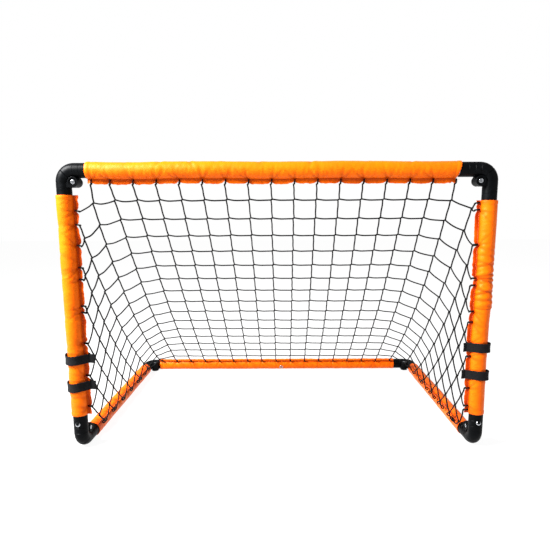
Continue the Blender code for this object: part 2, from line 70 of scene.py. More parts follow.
# small helpers
def deselect():
    if bpy.context.object and bpy.context.object.mode != "OBJECT":
        bpy.ops.object.mode_set(mode="OBJECT")
    bpy.ops.object.select_all(action="DESELECT")


def pick(obj):
    deselect()
    obj.select_set(True)
    bpy.context.view_layer.objects.active = obj


def applyAll(obj):
    pick(obj)
    for modifier in list(obj.modifiers):
        bpy.ops.object.modifier_apply(modifier=modifier.name)


def bevel(obj, width, segments, degrees):
    # rounds the edges sharper than that angle, and applies any other modifier first
    edge = obj.modifiers.new("edge", "BEVEL")
    edge.width = width
    edge.segments = segments
    edge.limit_method = "ANGLE"
    edge.angle_limit = math.radians(degrees)
    applyAll(obj)


def settle(obj):
    # the place goes into the mesh, as a CAD node's does
    pick(obj)
    bpy.ops.object.transform_apply(location=True, rotation=True, scale=True)


def fixNormals(obj, merge=True):
    pick(obj)
    bpy.ops.object.mode_set(mode="EDIT")
    bpy.ops.mesh.select_all(action="SELECT")
    if merge:
        bpy.ops.mesh.remove_doubles(threshold=0.000004)
    bpy.ops.mesh.normals_make_consistent(inside=False)
    bpy.ops.object.mode_set(mode="OBJECT")


def smooth(obj, degrees=38):
    pick(obj)
    bpy.ops.object.shade_smooth_by_angle(angle=math.radians(degrees))


def copyOf(obj, name, matrix):
    new = bpy.data.objects.new(name, obj.data.copy())
    bpy.context.scene.collection.objects.link(new)
    new.data.transform(matrix)
    return new


def discard(*objs):
    for obj in objs:
        bpy.data.objects.remove(obj, do_unlink=True)


def placed(origin, xAxis, yAxis):
    matrix = Matrix((xAxis, yAxis, xAxis.cross(yAxis))).transposed().to_4x4()
    matrix.translation = origin
    return matrix


def newMesh(name, verts, faces):
    mesh = bpy.data.meshes.new(name)
    mesh.from_pydata(verts, [], faces)
    obj = bpy.data.objects.new(name, mesh)
    bpy.context.scene.collection.objects.link(obj)
    return obj


def gridMesh(name, points, closed=False):
    # points is rows x columns x 3; closed joins the last column to the first
    rows, columns = points.shape[:2]
    faces = []
    for i in range(rows - 1):
        for j in range(columns if closed else columns - 1):
            k = (j + 1) % columns
            faces.append((i * columns + j, i * columns + k, (i + 1) * columns + k, (i + 1) * columns + j))
    return newMesh(name, points.reshape(-1, 3).tolist(), faces)


# materials
def hexColour(text):
    channels = [int(text[i : i + 2], 16) / 255 for i in (1, 3, 5)]
    linear = [c / 12.92 if c <= 0.04045 else ((c + 0.055) / 1.055) ** 2.4 for c in channels]
    return (*linear, 1)


def newMaterial(name):
    material = bpy.data.materials.new(name)
    material.use_nodes = True
    return material, material.node_tree, material.node_tree.nodes["Principled BSDF"]


def addNode(tree, kind, settings=None, **links):
    # settings are the node's own values, links are socket=value or socket=(node, output)
    node = tree.nodes.new(kind)
    for key, value in (settings or {}).items():
        setattr(node, key, value)
    for key, value in links.items():
        socket = node.inputs[int(key[1:])] if key[0] == "i" and key[1:].isdigit() else node.inputs[key]
        if isinstance(value, tuple) and len(value) == 2 and hasattr(value[0], "outputs"):
            tree.links.new(value[0].outputs[value[1]], socket)
        else:
            socket.default_value = value
    return node


def ramp(tree, source, stops):
    node = addNode(tree, "ShaderNodeValToRGB", Fac=source)
    while len(node.color_ramp.elements) < len(stops):
        node.color_ramp.elements.new(0.5)
    for element, (place, colour) in zip(node.color_ramp.elements, stops):
        element.position = place
        element.color = colour
    return node


# Polyester Oxford cloth, PU coated and piece dyed. A plain weave shows as a fine grid, it has a soft
# warm gloss, and creases and the flaps get a darker, redder painted shade, where light passes from fold to fold.
oxford = {
    "lit": "#F66A02",
    "deep": "#F06102",
    "crease": "#A02600",
    "threadSpacing": 0.9,  # mm; the real one is 0.35 and would be too fine to show
    "patchScale": 22.0,
    "crumpleScale": 120.0,
    "roughness": 0.42,
    "specular": 0.30,
    "gloss": "#FFD080",
}


def oxfordCloth():
    material, tree, shader = newMaterial("orange Oxford cloth")
    uv = addNode(tree, "ShaderNodeUVMap", {"uv_map": "cloth"})
    threads = 1000 / oxford["threadSpacing"]  # the UV map is in metres
    apart = addNode(tree, "ShaderNodeSeparateXYZ", Vector=(uv, "UV"))
    waves = []
    for axis in ("X", "Y"):
        scaled = addNode(tree, "ShaderNodeMath", {"operation": "MULTIPLY"}, i0=(apart, axis), i1=threads * math.pi)
        wave = addNode(tree, "ShaderNodeMath", {"operation": "SINE"}, i0=(scaled, "Value"))
        waves.append(addNode(tree, "ShaderNodeMath", {"operation": "ABSOLUTE"}, i0=(wave, "Value")))
    weave = addNode(tree, "ShaderNodeMath", {"operation": "MULTIPLY"}, i0=(waves[0], "Value"), i1=(waves[1], "Value"))
    coords = addNode(tree, "ShaderNodeTexCoord")
    # dye and rub marks a few centimetres across
    patches = addNode(
        tree, "ShaderNodeTexNoise", Vector=(coords, "Object"), Scale=oxford["patchScale"], Detail=3.0, Roughness=0.5
    )
    tone = ramp(tree, (patches, "Fac"), [(0.32, hexColour(oxford["deep"])), (0.62, hexColour(oxford["lit"]))])
    # painted shade: folds and flaps that the mesh marks get the darker, redder crease shade colour
    fold = addNode(tree, "ShaderNodeAttribute", {"attribute_name": "crease"})
    withCreaseShade = addNode(
        tree, "ShaderNodeMix", {"data_type": "RGBA"}, Factor=(fold, "Fac"), i6=(tone, "Color"),
        i7=hexColour(oxford["crease"]),
    )
    shadeThread = addNode(tree, "ShaderNodeMapRange", Value=(weave, "Value"), i3=0.90, i4=1.02)
    cloth = addNode(
        tree, "ShaderNodeVectorMath", {"operation": "SCALE"}, i0=(withCreaseShade, 2), Scale=(shadeThread, "Result")
    )
    tree.links.new(cloth.outputs["Vector"], shader.inputs["Base Color"])
    crumple = addNode(
        tree, "ShaderNodeTexNoise", Vector=(coords, "Object"), Scale=oxford["crumpleScale"], Detail=4.0, Roughness=0.55
    )
    wrinkle = addNode(tree, "ShaderNodeBump", Height=(crumple, "Fac"), Strength=0.08, Distance=0.0009)
    thread = addNode(
        tree, "ShaderNodeBump", Height=(weave, "Value"), Strength=0.22, Distance=0.00025, Normal=(wrinkle, "Normal")
    )
    tree.links.new(thread.outputs["Normal"], shader.inputs["Normal"])
    rub = addNode(
        tree, "ShaderNodeMapRange", Value=(patches, "Fac"), i3=oxford["roughness"] + 0.1, i4=oxford["roughness"] - 0.1
    )
    tree.links.new(rub.outputs["Result"], shader.inputs["Roughness"])
    shader.inputs["Specular IOR Level"].default_value = oxford["specular"]
    shader.inputs["Specular Tint"].default_value = hexColour(oxford["gloss"])
    return material


# Polypropylene, injection moulded with a fine spark-eroded grain: satin black, with lighter scuffs in
# random patches.
mouldedPlastic = {
    "black": "#040506",
    "scuff": "#0D0F12",
    "grain": 0.35,  # mm
    "roughness": 0.34,
    "specular": 0.055,
}


def polypropylene():
    material, tree, shader = newMaterial("moulded polypropylene")
    coords = addNode(tree, "ShaderNodeTexCoord")
    grain = addNode(
        tree, "ShaderNodeTexNoise", Vector=(coords, "Object"), Scale=1000 / mouldedPlastic["grain"] / 2, Detail=2.0
    )
    cloud = addNode(tree, "ShaderNodeTexNoise", Vector=(coords, "Object"), Scale=90.0, Detail=6.0, Roughness=0.7)
    colour = ramp(
        tree, (cloud, "Fac"), [(0.50, hexColour(mouldedPlastic["black"])), (0.78, hexColour(mouldedPlastic["scuff"]))]
    )
    tree.links.new(colour.outputs["Color"], shader.inputs["Base Color"])
    rough = addNode(
        tree, "ShaderNodeMapRange", Value=(cloud, "Fac"), i3=mouldedPlastic["roughness"] - 0.06,
        i4=mouldedPlastic["roughness"] + 0.16,
    )
    tree.links.new(rough.outputs["Result"], shader.inputs["Roughness"])
    bump = addNode(tree, "ShaderNodeBump", Height=(grain, "Fac"), Strength=0.18, Distance=0.00012)
    tree.links.new(bump.outputs["Normal"], shader.inputs["Normal"])
    shader.inputs["IOR"].default_value = 1.49
    shader.inputs["Specular IOR Level"].default_value = mouldedPlastic["specular"]
    return material


# Zinc-plated steel, bright dipped: pale, slightly blue, with a soft swirl from tumbling.
def brightZinc():
    material, tree, shader = newMaterial("bright zinc plate")
    coords = addNode(tree, "ShaderNodeTexCoord")
    swirl = addNode(tree, "ShaderNodeTexNoise", Vector=(coords, "Object"), Scale=900.0, Detail=4.0, Distortion=0.6)
    colour = ramp(tree, (swirl, "Fac"), [(0.35, hexColour("#8C9095")), (0.65, hexColour("#C9CCD0"))])
    tree.links.new(colour.outputs["Color"], shader.inputs["Base Color"])
    rough = addNode(tree, "ShaderNodeMapRange", Value=(swirl, "Fac"), i3=0.16, i4=0.34)
    tree.links.new(rough.outputs["Result"], shader.inputs["Roughness"])
    shader.inputs["Metallic"].default_value = 1.0
    return material


# Cold-rolled steel tube, as drawn: grey, with a fine mottle.
def drawnSteel():
    material, tree, shader = newMaterial("drawn steel tube")
    coords = addNode(tree, "ShaderNodeTexCoord")
    lines = addNode(tree, "ShaderNodeTexNoise", Vector=(coords, "Object"), Scale=700.0, Detail=3.0)
    colour = ramp(tree, (lines, "Fac"), [(0.35, hexColour("#83868B")), (0.65, hexColour("#B0B3B7"))])
    tree.links.new(colour.outputs["Color"], shader.inputs["Base Color"])
    rough = addNode(tree, "ShaderNodeMapRange", Value=(lines, "Fac"), i3=0.28, i4=0.42)
    tree.links.new(rough.outputs["Result"], shader.inputs["Roughness"])
    shader.inputs["Metallic"].default_value = 1.0
    return material


# Hook and loop tape, nylon pile on a woven back: matt black fuzz.
pileTape = {"black": "#070708", "lint": "#18181B", "loop": 0.8}  # loop is mm between loops


def loopPile():
    material, tree, shader = newMaterial("nylon loop tape")
    uv = addNode(tree, "ShaderNodeUVMap", {"uv_map": "cloth"})
    loops = addNode(
        tree, "ShaderNodeTexVoronoi", {"feature": "SMOOTH_F1"}, Vector=(uv, "UV"), Scale=1000 / pileTape["loop"],
        Smoothness=0.6,
    )
    colour = ramp(tree, (loops, "Distance"), [(0.1, hexColour(pileTape["lint"])), (0.6, hexColour(pileTape["black"]))])
    tree.links.new(colour.outputs["Color"], shader.inputs["Base Color"])
    bump = addNode(tree, "ShaderNodeBump", {"invert": True}, Height=(loops, "Distance"), Strength=0.7, Distance=0.0005)
    tree.links.new(bump.outputs["Normal"], shader.inputs["Normal"])
    shader.inputs["Roughness"].default_value = 0.85
    shader.inputs["Sheen Weight"].default_value = 0.04
    shader.inputs["Specular IOR Level"].default_value = 0.10
    return material


# Twisted polyethylene twine: black, slightly waxy, with the lay of the twist across it.
twine = {"black": "#020203", "glint": "#08090A", "lay": 2.2}  # lay is mm from strand to strand


def twistedTwine():
    material, tree, shader = newMaterial("twisted polyethylene twine")
    uv = addNode(tree, "ShaderNodeUVMap", {"uv_map": "lay"})
    bands = addNode(
        tree, "ShaderNodeTexWave", {"bands_direction": "DIAGONAL"}, Vector=(uv, "UV"), Scale=1.0, Distortion=0.6,
        Detail=1.0,
    )
    colour = ramp(tree, (bands, "Fac"), [(0.2, hexColour(twine["black"])), (0.9, hexColour(twine["glint"]))])
    tree.links.new(colour.outputs["Color"], shader.inputs["Base Color"])
    bump = addNode(tree, "ShaderNodeBump", Height=(bands, "Fac"), Strength=0.6, Distance=0.0003)
    tree.links.new(bump.outputs["Normal"], shader.inputs["Normal"])
    shader.inputs["Roughness"].default_value = 0.6
    shader.inputs["Specular IOR Level"].default_value = 0.12
    return material


# Bonded polyester thread, in the sleeves' own orange but a shade darker.
def sewingThread():
    material, tree, shader = newMaterial("bonded polyester thread")
    coords = addNode(tree, "ShaderNodeTexCoord")
    fuzz = addNode(tree, "ShaderNodeTexNoise", Vector=(coords, "Object"), Scale=2200.0, Detail=2.0)
    colour = ramp(tree, (fuzz, "Fac"), [(0.3, hexColour("#B5400A")), (0.7, hexColour("#E06A14"))])
    tree.links.new(colour.outputs["Color"], shader.inputs["Base Color"])
    shader.inputs["Roughness"].default_value = 0.6
    return material


clothFinish = oxfordCloth()
plasticFinish = polypropylene()
zincFinish = brightZinc()
steelFinish = drawnSteel()
pileFinish = loopPile()
twineFinish = twistedTwine()
threadFinish = sewingThread()


def dress(obj, material):
    obj.data.materials.clear()
    obj.data.materials.append(material)


print("materials made")

# places, read from the frame
lowTube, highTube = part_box("left_post_tube")
sideLow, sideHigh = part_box("left_side_tube")
rearLow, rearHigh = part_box("rear_tube")
barLow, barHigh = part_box("crossbar_tube")
tubeRadius = (highTube.x - lowTube.x) / 2
postX = -(lowTube.x + highTube.x) / 2
frontY = (lowTube.y + highTube.y) / 2
baseZ = (sideLow.z + sideHigh.z) / 2
topZ = (barLow.z + barHigh.z) / 2
rearY = (rearLow.y + rearHigh.y) / 2
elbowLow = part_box("top_left_elbow_post_half")[0]
elbowRadius = -elbowLow.x - postX
hinge = next(j for j in frame["joints"] if j["name"] == "frame_fold")
pinY, pinZ = hinge["pos_m"][1], hinge["pos_m"][2]
bendRadius = pinZ - baseZ

# camera
camera = {
    "lens": 32.22,
    "place": (0.0098, frontY - 1.0179, 0.5063),
    "pitch": 9.03,
    "yaw": -0.07,
    "roll": -0.19,
    "shift": (-0.0144, 0.0319),
}


def addCamera():
    data = bpy.data.cameras.new("camera")
    data.lens = camera["lens"]
    data.shift_x, data.shift_y = camera["shift"]
    obj = bpy.data.objects.new("camera", data)
    bpy.context.scene.collection.objects.link(obj)
    turn = Matrix.Rotation(math.radians(camera["yaw"]), 4, "Z")
    turn @= Matrix.Rotation(math.radians(90 - camera["pitch"]), 4, "X")
    turn @= Matrix.Rotation(math.radians(camera["roll"]), 4, "Z")
    obj.matrix_world = Matrix.Translation(camera["place"]) @ turn
    bpy.context.scene.camera = obj


addCamera()


# studio
studio = {
    "ambient": 0.40,
    "floorDiffuse": 0.13,
    "floorGlow": 0.93,
    "floorDrop": 0.0006,  # keeps the floor clear of the sleeves that rest on it
    "aim": (0, 0, 0.3),
    "lamps": [  # name, place, power, size
        ("key", (-1.25, -0.80, 1.40), 158, 0.7),
        ("fill", (1.9, -1.6, 1.3), 6, 1.4),
        ("rear", (0.2, 2.2, 2.2), 2, 2.0),
    ],
}


def addStudio():
    bpy.ops.mesh.primitive_plane_add(size=14, location=(0, 1.5, -studio["floorDrop"]))
    floor = bpy.context.object
    floor.name = "studio_floor"
    material, tree, shader = newMaterial("pale studio floor")
    # a lit table: it glows white and takes only faint shadows
    shader.inputs["Base Color"].default_value = (studio["floorDiffuse"],) * 3 + (1,)
    shader.inputs["Roughness"].default_value = 0.75
    shader.inputs["Specular IOR Level"].default_value = 0.0
    shader.inputs["Emission Color"].default_value = (1, 1, 1, 1)
    shader.inputs["Emission Strength"].default_value = studio["floorGlow"]
    dress(floor, material)
    world = bpy.data.worlds.new("studio")
    world.use_nodes = True
    tree = world.node_tree
    # the backdrop is white, and lights the goal less than it shows
    ray = addNode(tree, "ShaderNodeLightPath")
    shown = addNode(tree, "ShaderNodeMapRange", Value=(ray, "Is Camera Ray"), i3=studio["ambient"], i4=1.0)
    tree.nodes["Background"].inputs["Color"].default_value = (1, 1, 1, 1)
    tree.links.new(shown.outputs["Result"], tree.nodes["Background"].inputs["Strength"])
    bpy.context.scene.world = world
    bpy.context.scene.view_settings.view_transform = "Standard"
    for name, place, power, size in studio["lamps"]:
        light = bpy.data.lights.new(name, "AREA")
        light.energy = power
        light.size = size
        obj = bpy.data.objects.new(name, light)
        bpy.context.scene.collection.objects.link(obj)
        obj.location = place
        look = Vector(studio["aim"]) - Vector(place)
        obj.rotation_euler = look.to_track_quat("-Z", "Y").to_euler()


addStudio()
print("camera and studio ready")

# The net is one rectangle. Its middle lies on the slope from the crossbar to the rear bar, and its
# sides fold down over the slope's edges, so their meshes stand on their points.
netLayout = {
    "columnPitch": 0.0466,
    "columnCount": 17,  # on the crossbar
    "offCentre": -0.0122,
    "rowCount": 16,
    "flapReach": 0.0275,  # from a tube's axis to its flap's edge
    "baseTilt": math.radians(45),
    "sag": 0.022,
    "topDraw": 0.012,
    "edgeBend": 0.125,  # radius of the fold halfway down the slope
    "sideWidth": 0.42,  # how much of the sheet can hang over each edge
    "postClear": 0.004,  # knots stay this far behind the posts
    "baseClear": 0.002,  # and above the base's flaps
    "tieInset": 0.006,  # ties stay this far from a sleeve's ends
    "shortest": 0.008,  # a knot nearer than this to the frame is tied to it
}
sideX = postX - netLayout["flapReach"]
slopeTop = np.array([frontY, topZ - netLayout["flapReach"]])
baseReach = netLayout["flapReach"] * math.cos(netLayout["baseTilt"])
slopeLow = np.array([rearY - baseReach, baseZ + baseReach])
slopeLength = float(np.linalg.norm(slopeLow - slopeTop))
slopeRun = (slopeLow - slopeTop) / slopeLength
slopeIn = np.array([slopeRun[1], -slopeRun[0]])  # square to the slope, towards the lower front corner
lowEdgeZ = baseZ + baseReach
rowPitch = slopeLength / netLayout["rowCount"]


def columnAt(c):
    middle = (netLayout["columnCount"] - 1) / 2
    return netLayout["offCentre"] + netLayout["columnPitch"] * (c - middle)


def sheetPoint(u, v):
    # u runs across the sheet and v down the slope; the net rounds the slope's edges, most in their middle
    bend = netLayout["edgeBend"] * max(math.sin(math.pi * v / slopeLength), 0) ** 0.5
    past = abs(u) - (sideX - bend)
    if past <= 0:
        x, over = abs(u), 0
    elif past < bend * math.pi / 2:
        angle = past / bend
        x, over = sideX - bend + bend * math.sin(angle), bend * (1 - math.cos(angle))
    else:
        x, over = sideX, past - bend * (math.pi / 2 - 1)
    sag = netLayout["sag"] * math.sin(math.pi * v / slopeLength)
    y, z = slopeTop + slopeRun * v + slopeIn * (over + sag)
    return np.array([math.copysign(x, u), y, z])


def rowAt(r):
    # the first mesh is shortened by its ties, and the next few share what it lost
    return r * rowPitch - netLayout["topDraw"] * (1 - r / netLayout["rowCount"]) ** 3 * (r > 0)


def insideFrame(point):
    return point[1] > frontY + netLayout["postClear"] and point[2] > lowEdgeZ + netLayout["baseClear"]


def onSide(point):
    return abs(point[0]) > sideX - 1e-6


def frameCrossing(inner, outer):
    # where a strand that leaves the side triangle meets the post's flap or the side tube's
    steps = []
    if outer[1] < frontY:
        steps.append((frontY - inner[1]) / (outer[1] - inner[1]))
    if outer[2] < lowEdgeZ:
        steps.append((lowEdgeZ - inner[2]) / (outer[2] - inner[2]))
    t = min(steps) if steps else 1.0
    return inner + (outer - inner) * t


def onCloth(place, nodeName, axis):
    low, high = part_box(nodeName)
    return min(max(place, low[axis] + netLayout["tieInset"]), high[axis] - netLayout["tieInset"])


def tied(point):
    # a tie stays on cloth, clear of the elbows
    x, y, z = point
    side = "left" if x < 0 else "right"
    if onSide(point):
        if y < frontY + netLayout["postClear"]:
            return np.array([x, frontY, onCloth(z, f"{side}_post_sleeve", 2)]), f"{side}_post"
        return np.array([x, onCloth(y, f"{side}_side_sleeve", 1), lowEdgeZ]), f"{side}_side"
    if z > topZ - 2 * netLayout["flapReach"]:
        return np.array([onCloth(x, "crossbar_sleeve", 0), y, z]), "crossbar"
    return np.array([onCloth(x, "rear_sleeve", 0), y, z]), "rear"


netNodes = []  # [place, is it tied]
netEdges = []  # (node, node, "row" or "column")
tiePlaces = {name: [] for name in ("crossbar", "rear", "left_post", "right_post", "left_side", "right_side")}


def layOutNet():
    number = {}
    reach = int((sideX + netLayout["sideWidth"]) / netLayout["columnPitch"]) + 1
    middle = (netLayout["columnCount"] - 1) // 2
    columns = range(middle - reach, middle + reach + 1)
    for c in columns:
        for r in range(0, netLayout["rowCount"] + 1):
            point = sheetPoint(columnAt(c), rowAt(r))
            atBar = r in (0, netLayout["rowCount"]) and abs(columnAt(c)) <= sideX
            if atBar:
                place, flap = tied(point)
                tiePlaces[flap].append(place)
                number[c, r] = len(netNodes)
                netNodes.append([place, True])
            elif insideFrame(point) and 0 < r < netLayout["rowCount"]:
                number[c, r] = len(netNodes)
                netNodes.append([point, False])

    def join(inner, c, r, kind):
        if (c, r) in number:
            netEdges.append((inner, number[c, r], kind))
            return
        outer = sheetPoint(columnAt(c), rowAt(r))
        crossing = frameCrossing(netNodes[inner][0], outer)
        crossing[0] = math.copysign(sideX, crossing[0])
        place, flap = tied(crossing)
        tiePlaces[flap].append(place)
        if np.linalg.norm(place - netNodes[inner][0]) < netLayout["shortest"]:
            netNodes[inner] = [place, True]
            return
        netNodes.append([place, True])
        netEdges.append((inner, len(netNodes) - 1, kind))

    for (c, r), here in list(number.items()):
        if netNodes[here][1]:
            continue
        for dc, dr, kind in ((1, 0, "row"), (-1, 0, "row"), (0, 1, "column"), (0, -1, "column")):
            other = number.get((c + dc, r + dr))
            if other is not None and other < here and not netNodes[other][1]:
                continue  # the other one adds it
            join(here, c + dc, r + dr, kind)


layOutNet()
print("net laid out:", len(netNodes), "knots and ties,", len(netEdges), "strand lengths")

# Each is a strip wrapped round its tube, its long edges sewn together into the flap that holds the net.
sleeveCloth = {
    "thickness": 0.00045,
    "radius": 0.0169,
    "wrinkle": 0.0008,
    "flap": 0.0100,
    "flapGap": 0.0007,
    "cuff": 0.0075,
    "cuffRaise": 0.0006,
    "pucker": 0.0020,
    "stepAlong": 0.0022,
    "roundSteps": 44,
    "flapSteps": 5,
    "broadScale": 26,  # of the noise that swells the cloth, and of the one that wrinkles it
    "fineScale": 70,
    "foldDepth": 0.0011,
    "foldWidth": 0.0030,
    "foldSpread": 0.006,
    "pullWidth": 0.006,
    "seamRound": 0.0004,
    "endZone": 0.03,  # a slanted end starts this far from it
    "stitch": 0.0034,  # from thread to thread
    "threadLength": 0.0022,
    "threadWidth": 0.00032,
    "seamPlace": 0.16,  # of the flap's width
}


def bell(x, width):
    return np.exp(-((x / width) ** 2))


def rise(x, width):
    # from 0 to 1 across x = 0
    return 0.5 + 0.5 * np.tanh(x / (2 * width))


def fractal(points, scale, seed, octaves=3):
    out = np.zeros(len(points))
    for k, p in enumerate(points):
        v = Vector(p) * scale + Vector((seed * 7.3, seed * 3.1, seed * 1.7))
        total, size = 0.0, 1.0
        for _ in range(octaves):
            total += size * noise.noise(v)
            v = v * 2.1
            size *= 0.5
        out[k] = total
    return out


def sewnSleeve(name, start, end, flapTo, ties, seed, shape, radius=sleeveCloth["radius"], floorZ=None,
               flapScale=1.0, flapTone=0.5, slant=0.0):
    # shape(s, angle) gives extra radius, centre shift and painted crease shade; flapTo is the flap's direction
    start, end, flapTo = Vector(start), Vector(end), Vector(flapTo)
    along = (end - start).normalized()
    across = along.cross(flapTo).normalized()
    length = (end - start).length
    rows = int(length / sleeveCloth["stepAlong"]) + 1
    s = np.linspace(0, length, rows)
    rs, fs = sleeveCloth["roundSteps"], sleeveCloth["flapSteps"]
    slim = sleeveCloth["flapGap"] / 2
    open_ = math.asin(slim / radius)
    angles = np.linspace(open_, math.tau - open_, rs)
    columns = rs + 2 * fs + 1
    tieS = np.array([(Vector(t) - start).dot(along) for t in ties])
    S = np.repeat(s[:, None], rs, axis=1)
    A = np.repeat(angles[None, :], rows, axis=0)
    nearFlap = 0.5 + 0.5 * np.cos(A)  # 1 at the flap
    sample = np.stack([S.ravel(), radius * np.cos(A).ravel(), radius * np.sin(A).ravel()], 1)
    broad = fractal(sample * np.array([0.55, 1, 1]), sleeveCloth["broadScale"], seed).reshape(rows, rs)
    fine = fractal(sample * np.array([1.5, 0.6, 0.6]), sleeveCloth["fineScale"], seed + 5).reshape(rows, rs)
    offset = sleeveCloth["wrinkle"] * (broad + 0.55 * (1 - 2.2 * np.abs(fine)) * (0.35 + nearFlap))
    # painted shade: darker in fine wrinkles and broad dents, most near the flap
    crease = np.clip(0.20 * (np.abs(fine) < 0.07) * (0.25 + nearFlap) - 0.16 * broad, 0, 1)
    pull = np.zeros(rows)
    for t in tieS:
        pull = np.maximum(pull, bell(s - t, sleeveCloth["pullWidth"]))
    # folds run from each tie round the tube and fade out halfway
    for k, t in enumerate(tieS):
        lean = 0.010 * math.sin(seed * 1.7 + k * 2.3)
        for side in (-1, 1):
            centre = t + (lean + side * sleeveCloth["foldSpread"]) * np.minimum(A, math.tau - A)
            fold = bell(S - centre, sleeveCloth["foldWidth"]) * nearFlap**2
            offset -= sleeveCloth["foldDepth"] * fold
            # painted shade in each fold
            crease = np.maximum(crease, 0.6 * fold)
    # painted shade where the cloth turns into the flap
    crease = np.maximum(crease, 0.7 * nearFlap**40)
    extra, centreShift, more = shape(S, A)
    offset = offset + extra
    crease = np.clip(np.maximum(crease, more), 0, 1)
    fromEnd = np.minimum(s, length - s)
    cuff = sleeveCloth["cuffRaise"] * rise(sleeveCloth["cuff"] - fromEnd, sleeveCloth["seamRound"])
    groove = -0.0006 * bell(fromEnd - sleeveCloth["cuff"] - 0.0006, 0.0007)
    rim = -0.0005 * bell(fromEnd, 0.0009)
    calm = np.clip(fromEnd / 0.02, 0.25, 1)[:, None]
    R = radius + offset * calm + (cuff + groove + rim)[:, None]
    R = np.maximum(R, tubeRadius + 0.0026 * (fromEnd < 0.03)[:, None] + 0.0011)
    # the flap: wavy, and drawn in where the net is tied
    wave = fractal(np.stack([s, 0 * s, 0 * s], 1), 34, seed + 11)
    flutter = fractal(np.stack([s, 0 * s + 0.5, 0 * s], 1), 95, seed + 17)
    width = sleeveCloth["flap"] * flapScale * (1 + 0.10 * wave + 0.08 * flutter) - sleeveCloth["pucker"] * pull
    bendOver = 0.0022 * wave + 0.0010 * flutter
    points = np.zeros((rows, columns, 3))
    marks = np.zeros((rows, columns))
    uv = np.zeros((rows, columns, 2))

    lastPart = np.clip((s - length) / sleeveCloth["endZone"] + 1, 0, 1)

    def setPoint(j, out, side, mark, round_, drawn=1.0):
        # a slanted end is cut back towards the flap
        run = s - slant * drawn * lastPart
        base = np.array(start)[None, :] + run[:, None] * np.array(along)[None, :]
        base = base + centreShift[:, 0:1] * np.array(flapTo) + centreShift[:, 1:2] * np.array(across)
        points[:, j] = base + out[:, None] * np.array(flapTo) + side[:, None] * np.array(across)
        marks[:, j] = mark
        uv[:, j, 0] = s
        uv[:, j, 1] = round_

    for j in range(rs):
        a = angles[j]
        setPoint(j, R[:, j] * np.cos(a), R[:, j] * np.sin(a), crease[:, j], radius * a, nearFlap[0, j])
    root = (R[:, 0] + R[:, -1]) / 2
    for k in range(1, fs + 1):
        f = k / (fs + 0.35)
        lateral = bendOver * f**1.5
        pinch = slim * (1 - 0.35 * math.sin(math.pi * f))
        # painted shade on the flap: darker near its root, where it is drawn in and where it waves, as much as the
        # caller asks
        edgeShade = np.clip(flapTone + 0.15 - 0.45 * f + 0.35 * pull + 0.3 * wave, 0, 1)
        turn = radius * math.tau + width * f
        setPoint(rs - 1 + k, root + width * f, lateral - pinch, edgeShade, turn)
        setPoint(columns - k, root + width * f, lateral + pinch, edgeShade, -width * f)
    # a little painted shade along the flap's edge
    setPoint(rs + fs, root + width, bendOver, 0.15, radius * math.tau + width)
    if floorZ is not None:
        points[..., 2] = np.maximum(points[..., 2], floorZ)
    obj = gridMesh(name, points, closed=True)
    layer = obj.data.uv_layers.new(name="cloth")
    flatUv = uv.reshape(-1, 2)
    for loop in obj.data.loops:
        layer.data[loop.index].uv = flatUv[loop.vertex_index]
    attribute = obj.data.attributes.new("crease", "FLOAT", "POINT")
    attribute.data.foreach_set("value", marks.ravel().astype(np.float32))
    fixNormals(obj, merge=False)
    wall = obj.modifiers.new("wall", "SOLIDIFY")
    wall.thickness = sleeveCloth["thickness"]
    wall.offset = -1
    applyAll(obj)
    smooth(obj, 60)
    dress(obj, clothFinish)
    return obj, {
        "s": s, "root": root, "start": start, "along": along, "flapTo": flapTo, "across": across,
        "shift": centreShift, "bend": bendOver, "width": width,
    }


def stitches(name, path, length, body):
    # a run of short raised threads along path, which gives a place, a direction and outward
    gap, long_, thick = sleeveCloth["stitch"], sleeveCloth["threadLength"], sleeveCloth["threadWidth"]
    verts, faces = [], []
    for k in range(int(length / gap)):
        place, run, out = path((k + 0.5) * gap)
        side = run.cross(out).normalized()
        base = len(verts)
        for f, lift in ((-0.5, 0.0), (-0.22, 1.0), (0.22, 1.0), (0.5, 0.0)):
            for a, b in ((-1, -0.2), (0, 1), (1, -0.2)):
                up = out * thick * (b * 0.9 + lift * 0.6 - 0.3)
                verts.append(tuple(place + run * long_ * f + side * a * thick + up))
        for i in range(3):
            for j in range(3):
                p, q = base + i * 3 + j, base + i * 3 + (j + 1) % 3
                faces.append((p, q, q + 3, p + 3))
        faces += [(base, base + 2, base + 1), (base + 9, base + 10, base + 11)]
    obj = newMesh(name, verts, faces)
    fixNormals(obj, merge=False)
    dress(obj, threadFinish)
    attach(obj, body)
    return obj


def seamStitches(name, sleeve, body):
    # the seam that makes the flap, on both of its faces: one run on the side given by the face normal
    start, along, flapTo, across = sleeve["start"], sleeve["along"], sleeve["flapTo"], sleeve["across"]
    s, root, shift, bend, width = (sleeve[k] for k in ("s", "root", "shift", "bend", "width"))
    fraction = sleeveCloth["seamPlace"]
    runs = []
    for face in (-1, 1):

        def path(t, face=face):
            r = float(np.interp(t, s, root + width * fraction))
            b = float(np.interp(t, s, bend * fraction**1.5))
            sx, sy = float(np.interp(t, s, shift[:, 0])), float(np.interp(t, s, shift[:, 1]))
            lift = sleeveCloth["flapGap"] / 2 + sleeveCloth["thickness"] * 0.1
            place = start + along * t + flapTo * (r + sx) + across * (b + sy + face * lift)
            return place, along, across * face

        runs.append(stitches(f"{name}_{'front' if face < 0 else 'back'}_stitching", path, s[-1], body))
    return runs


def declareSleeve(obj, nodeName, body, runs):
    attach(obj, body)
    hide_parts(nodeName)


def sleeveEnds(nodeName, axis):
    low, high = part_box(nodeName)
    return low[axis], high[axis]


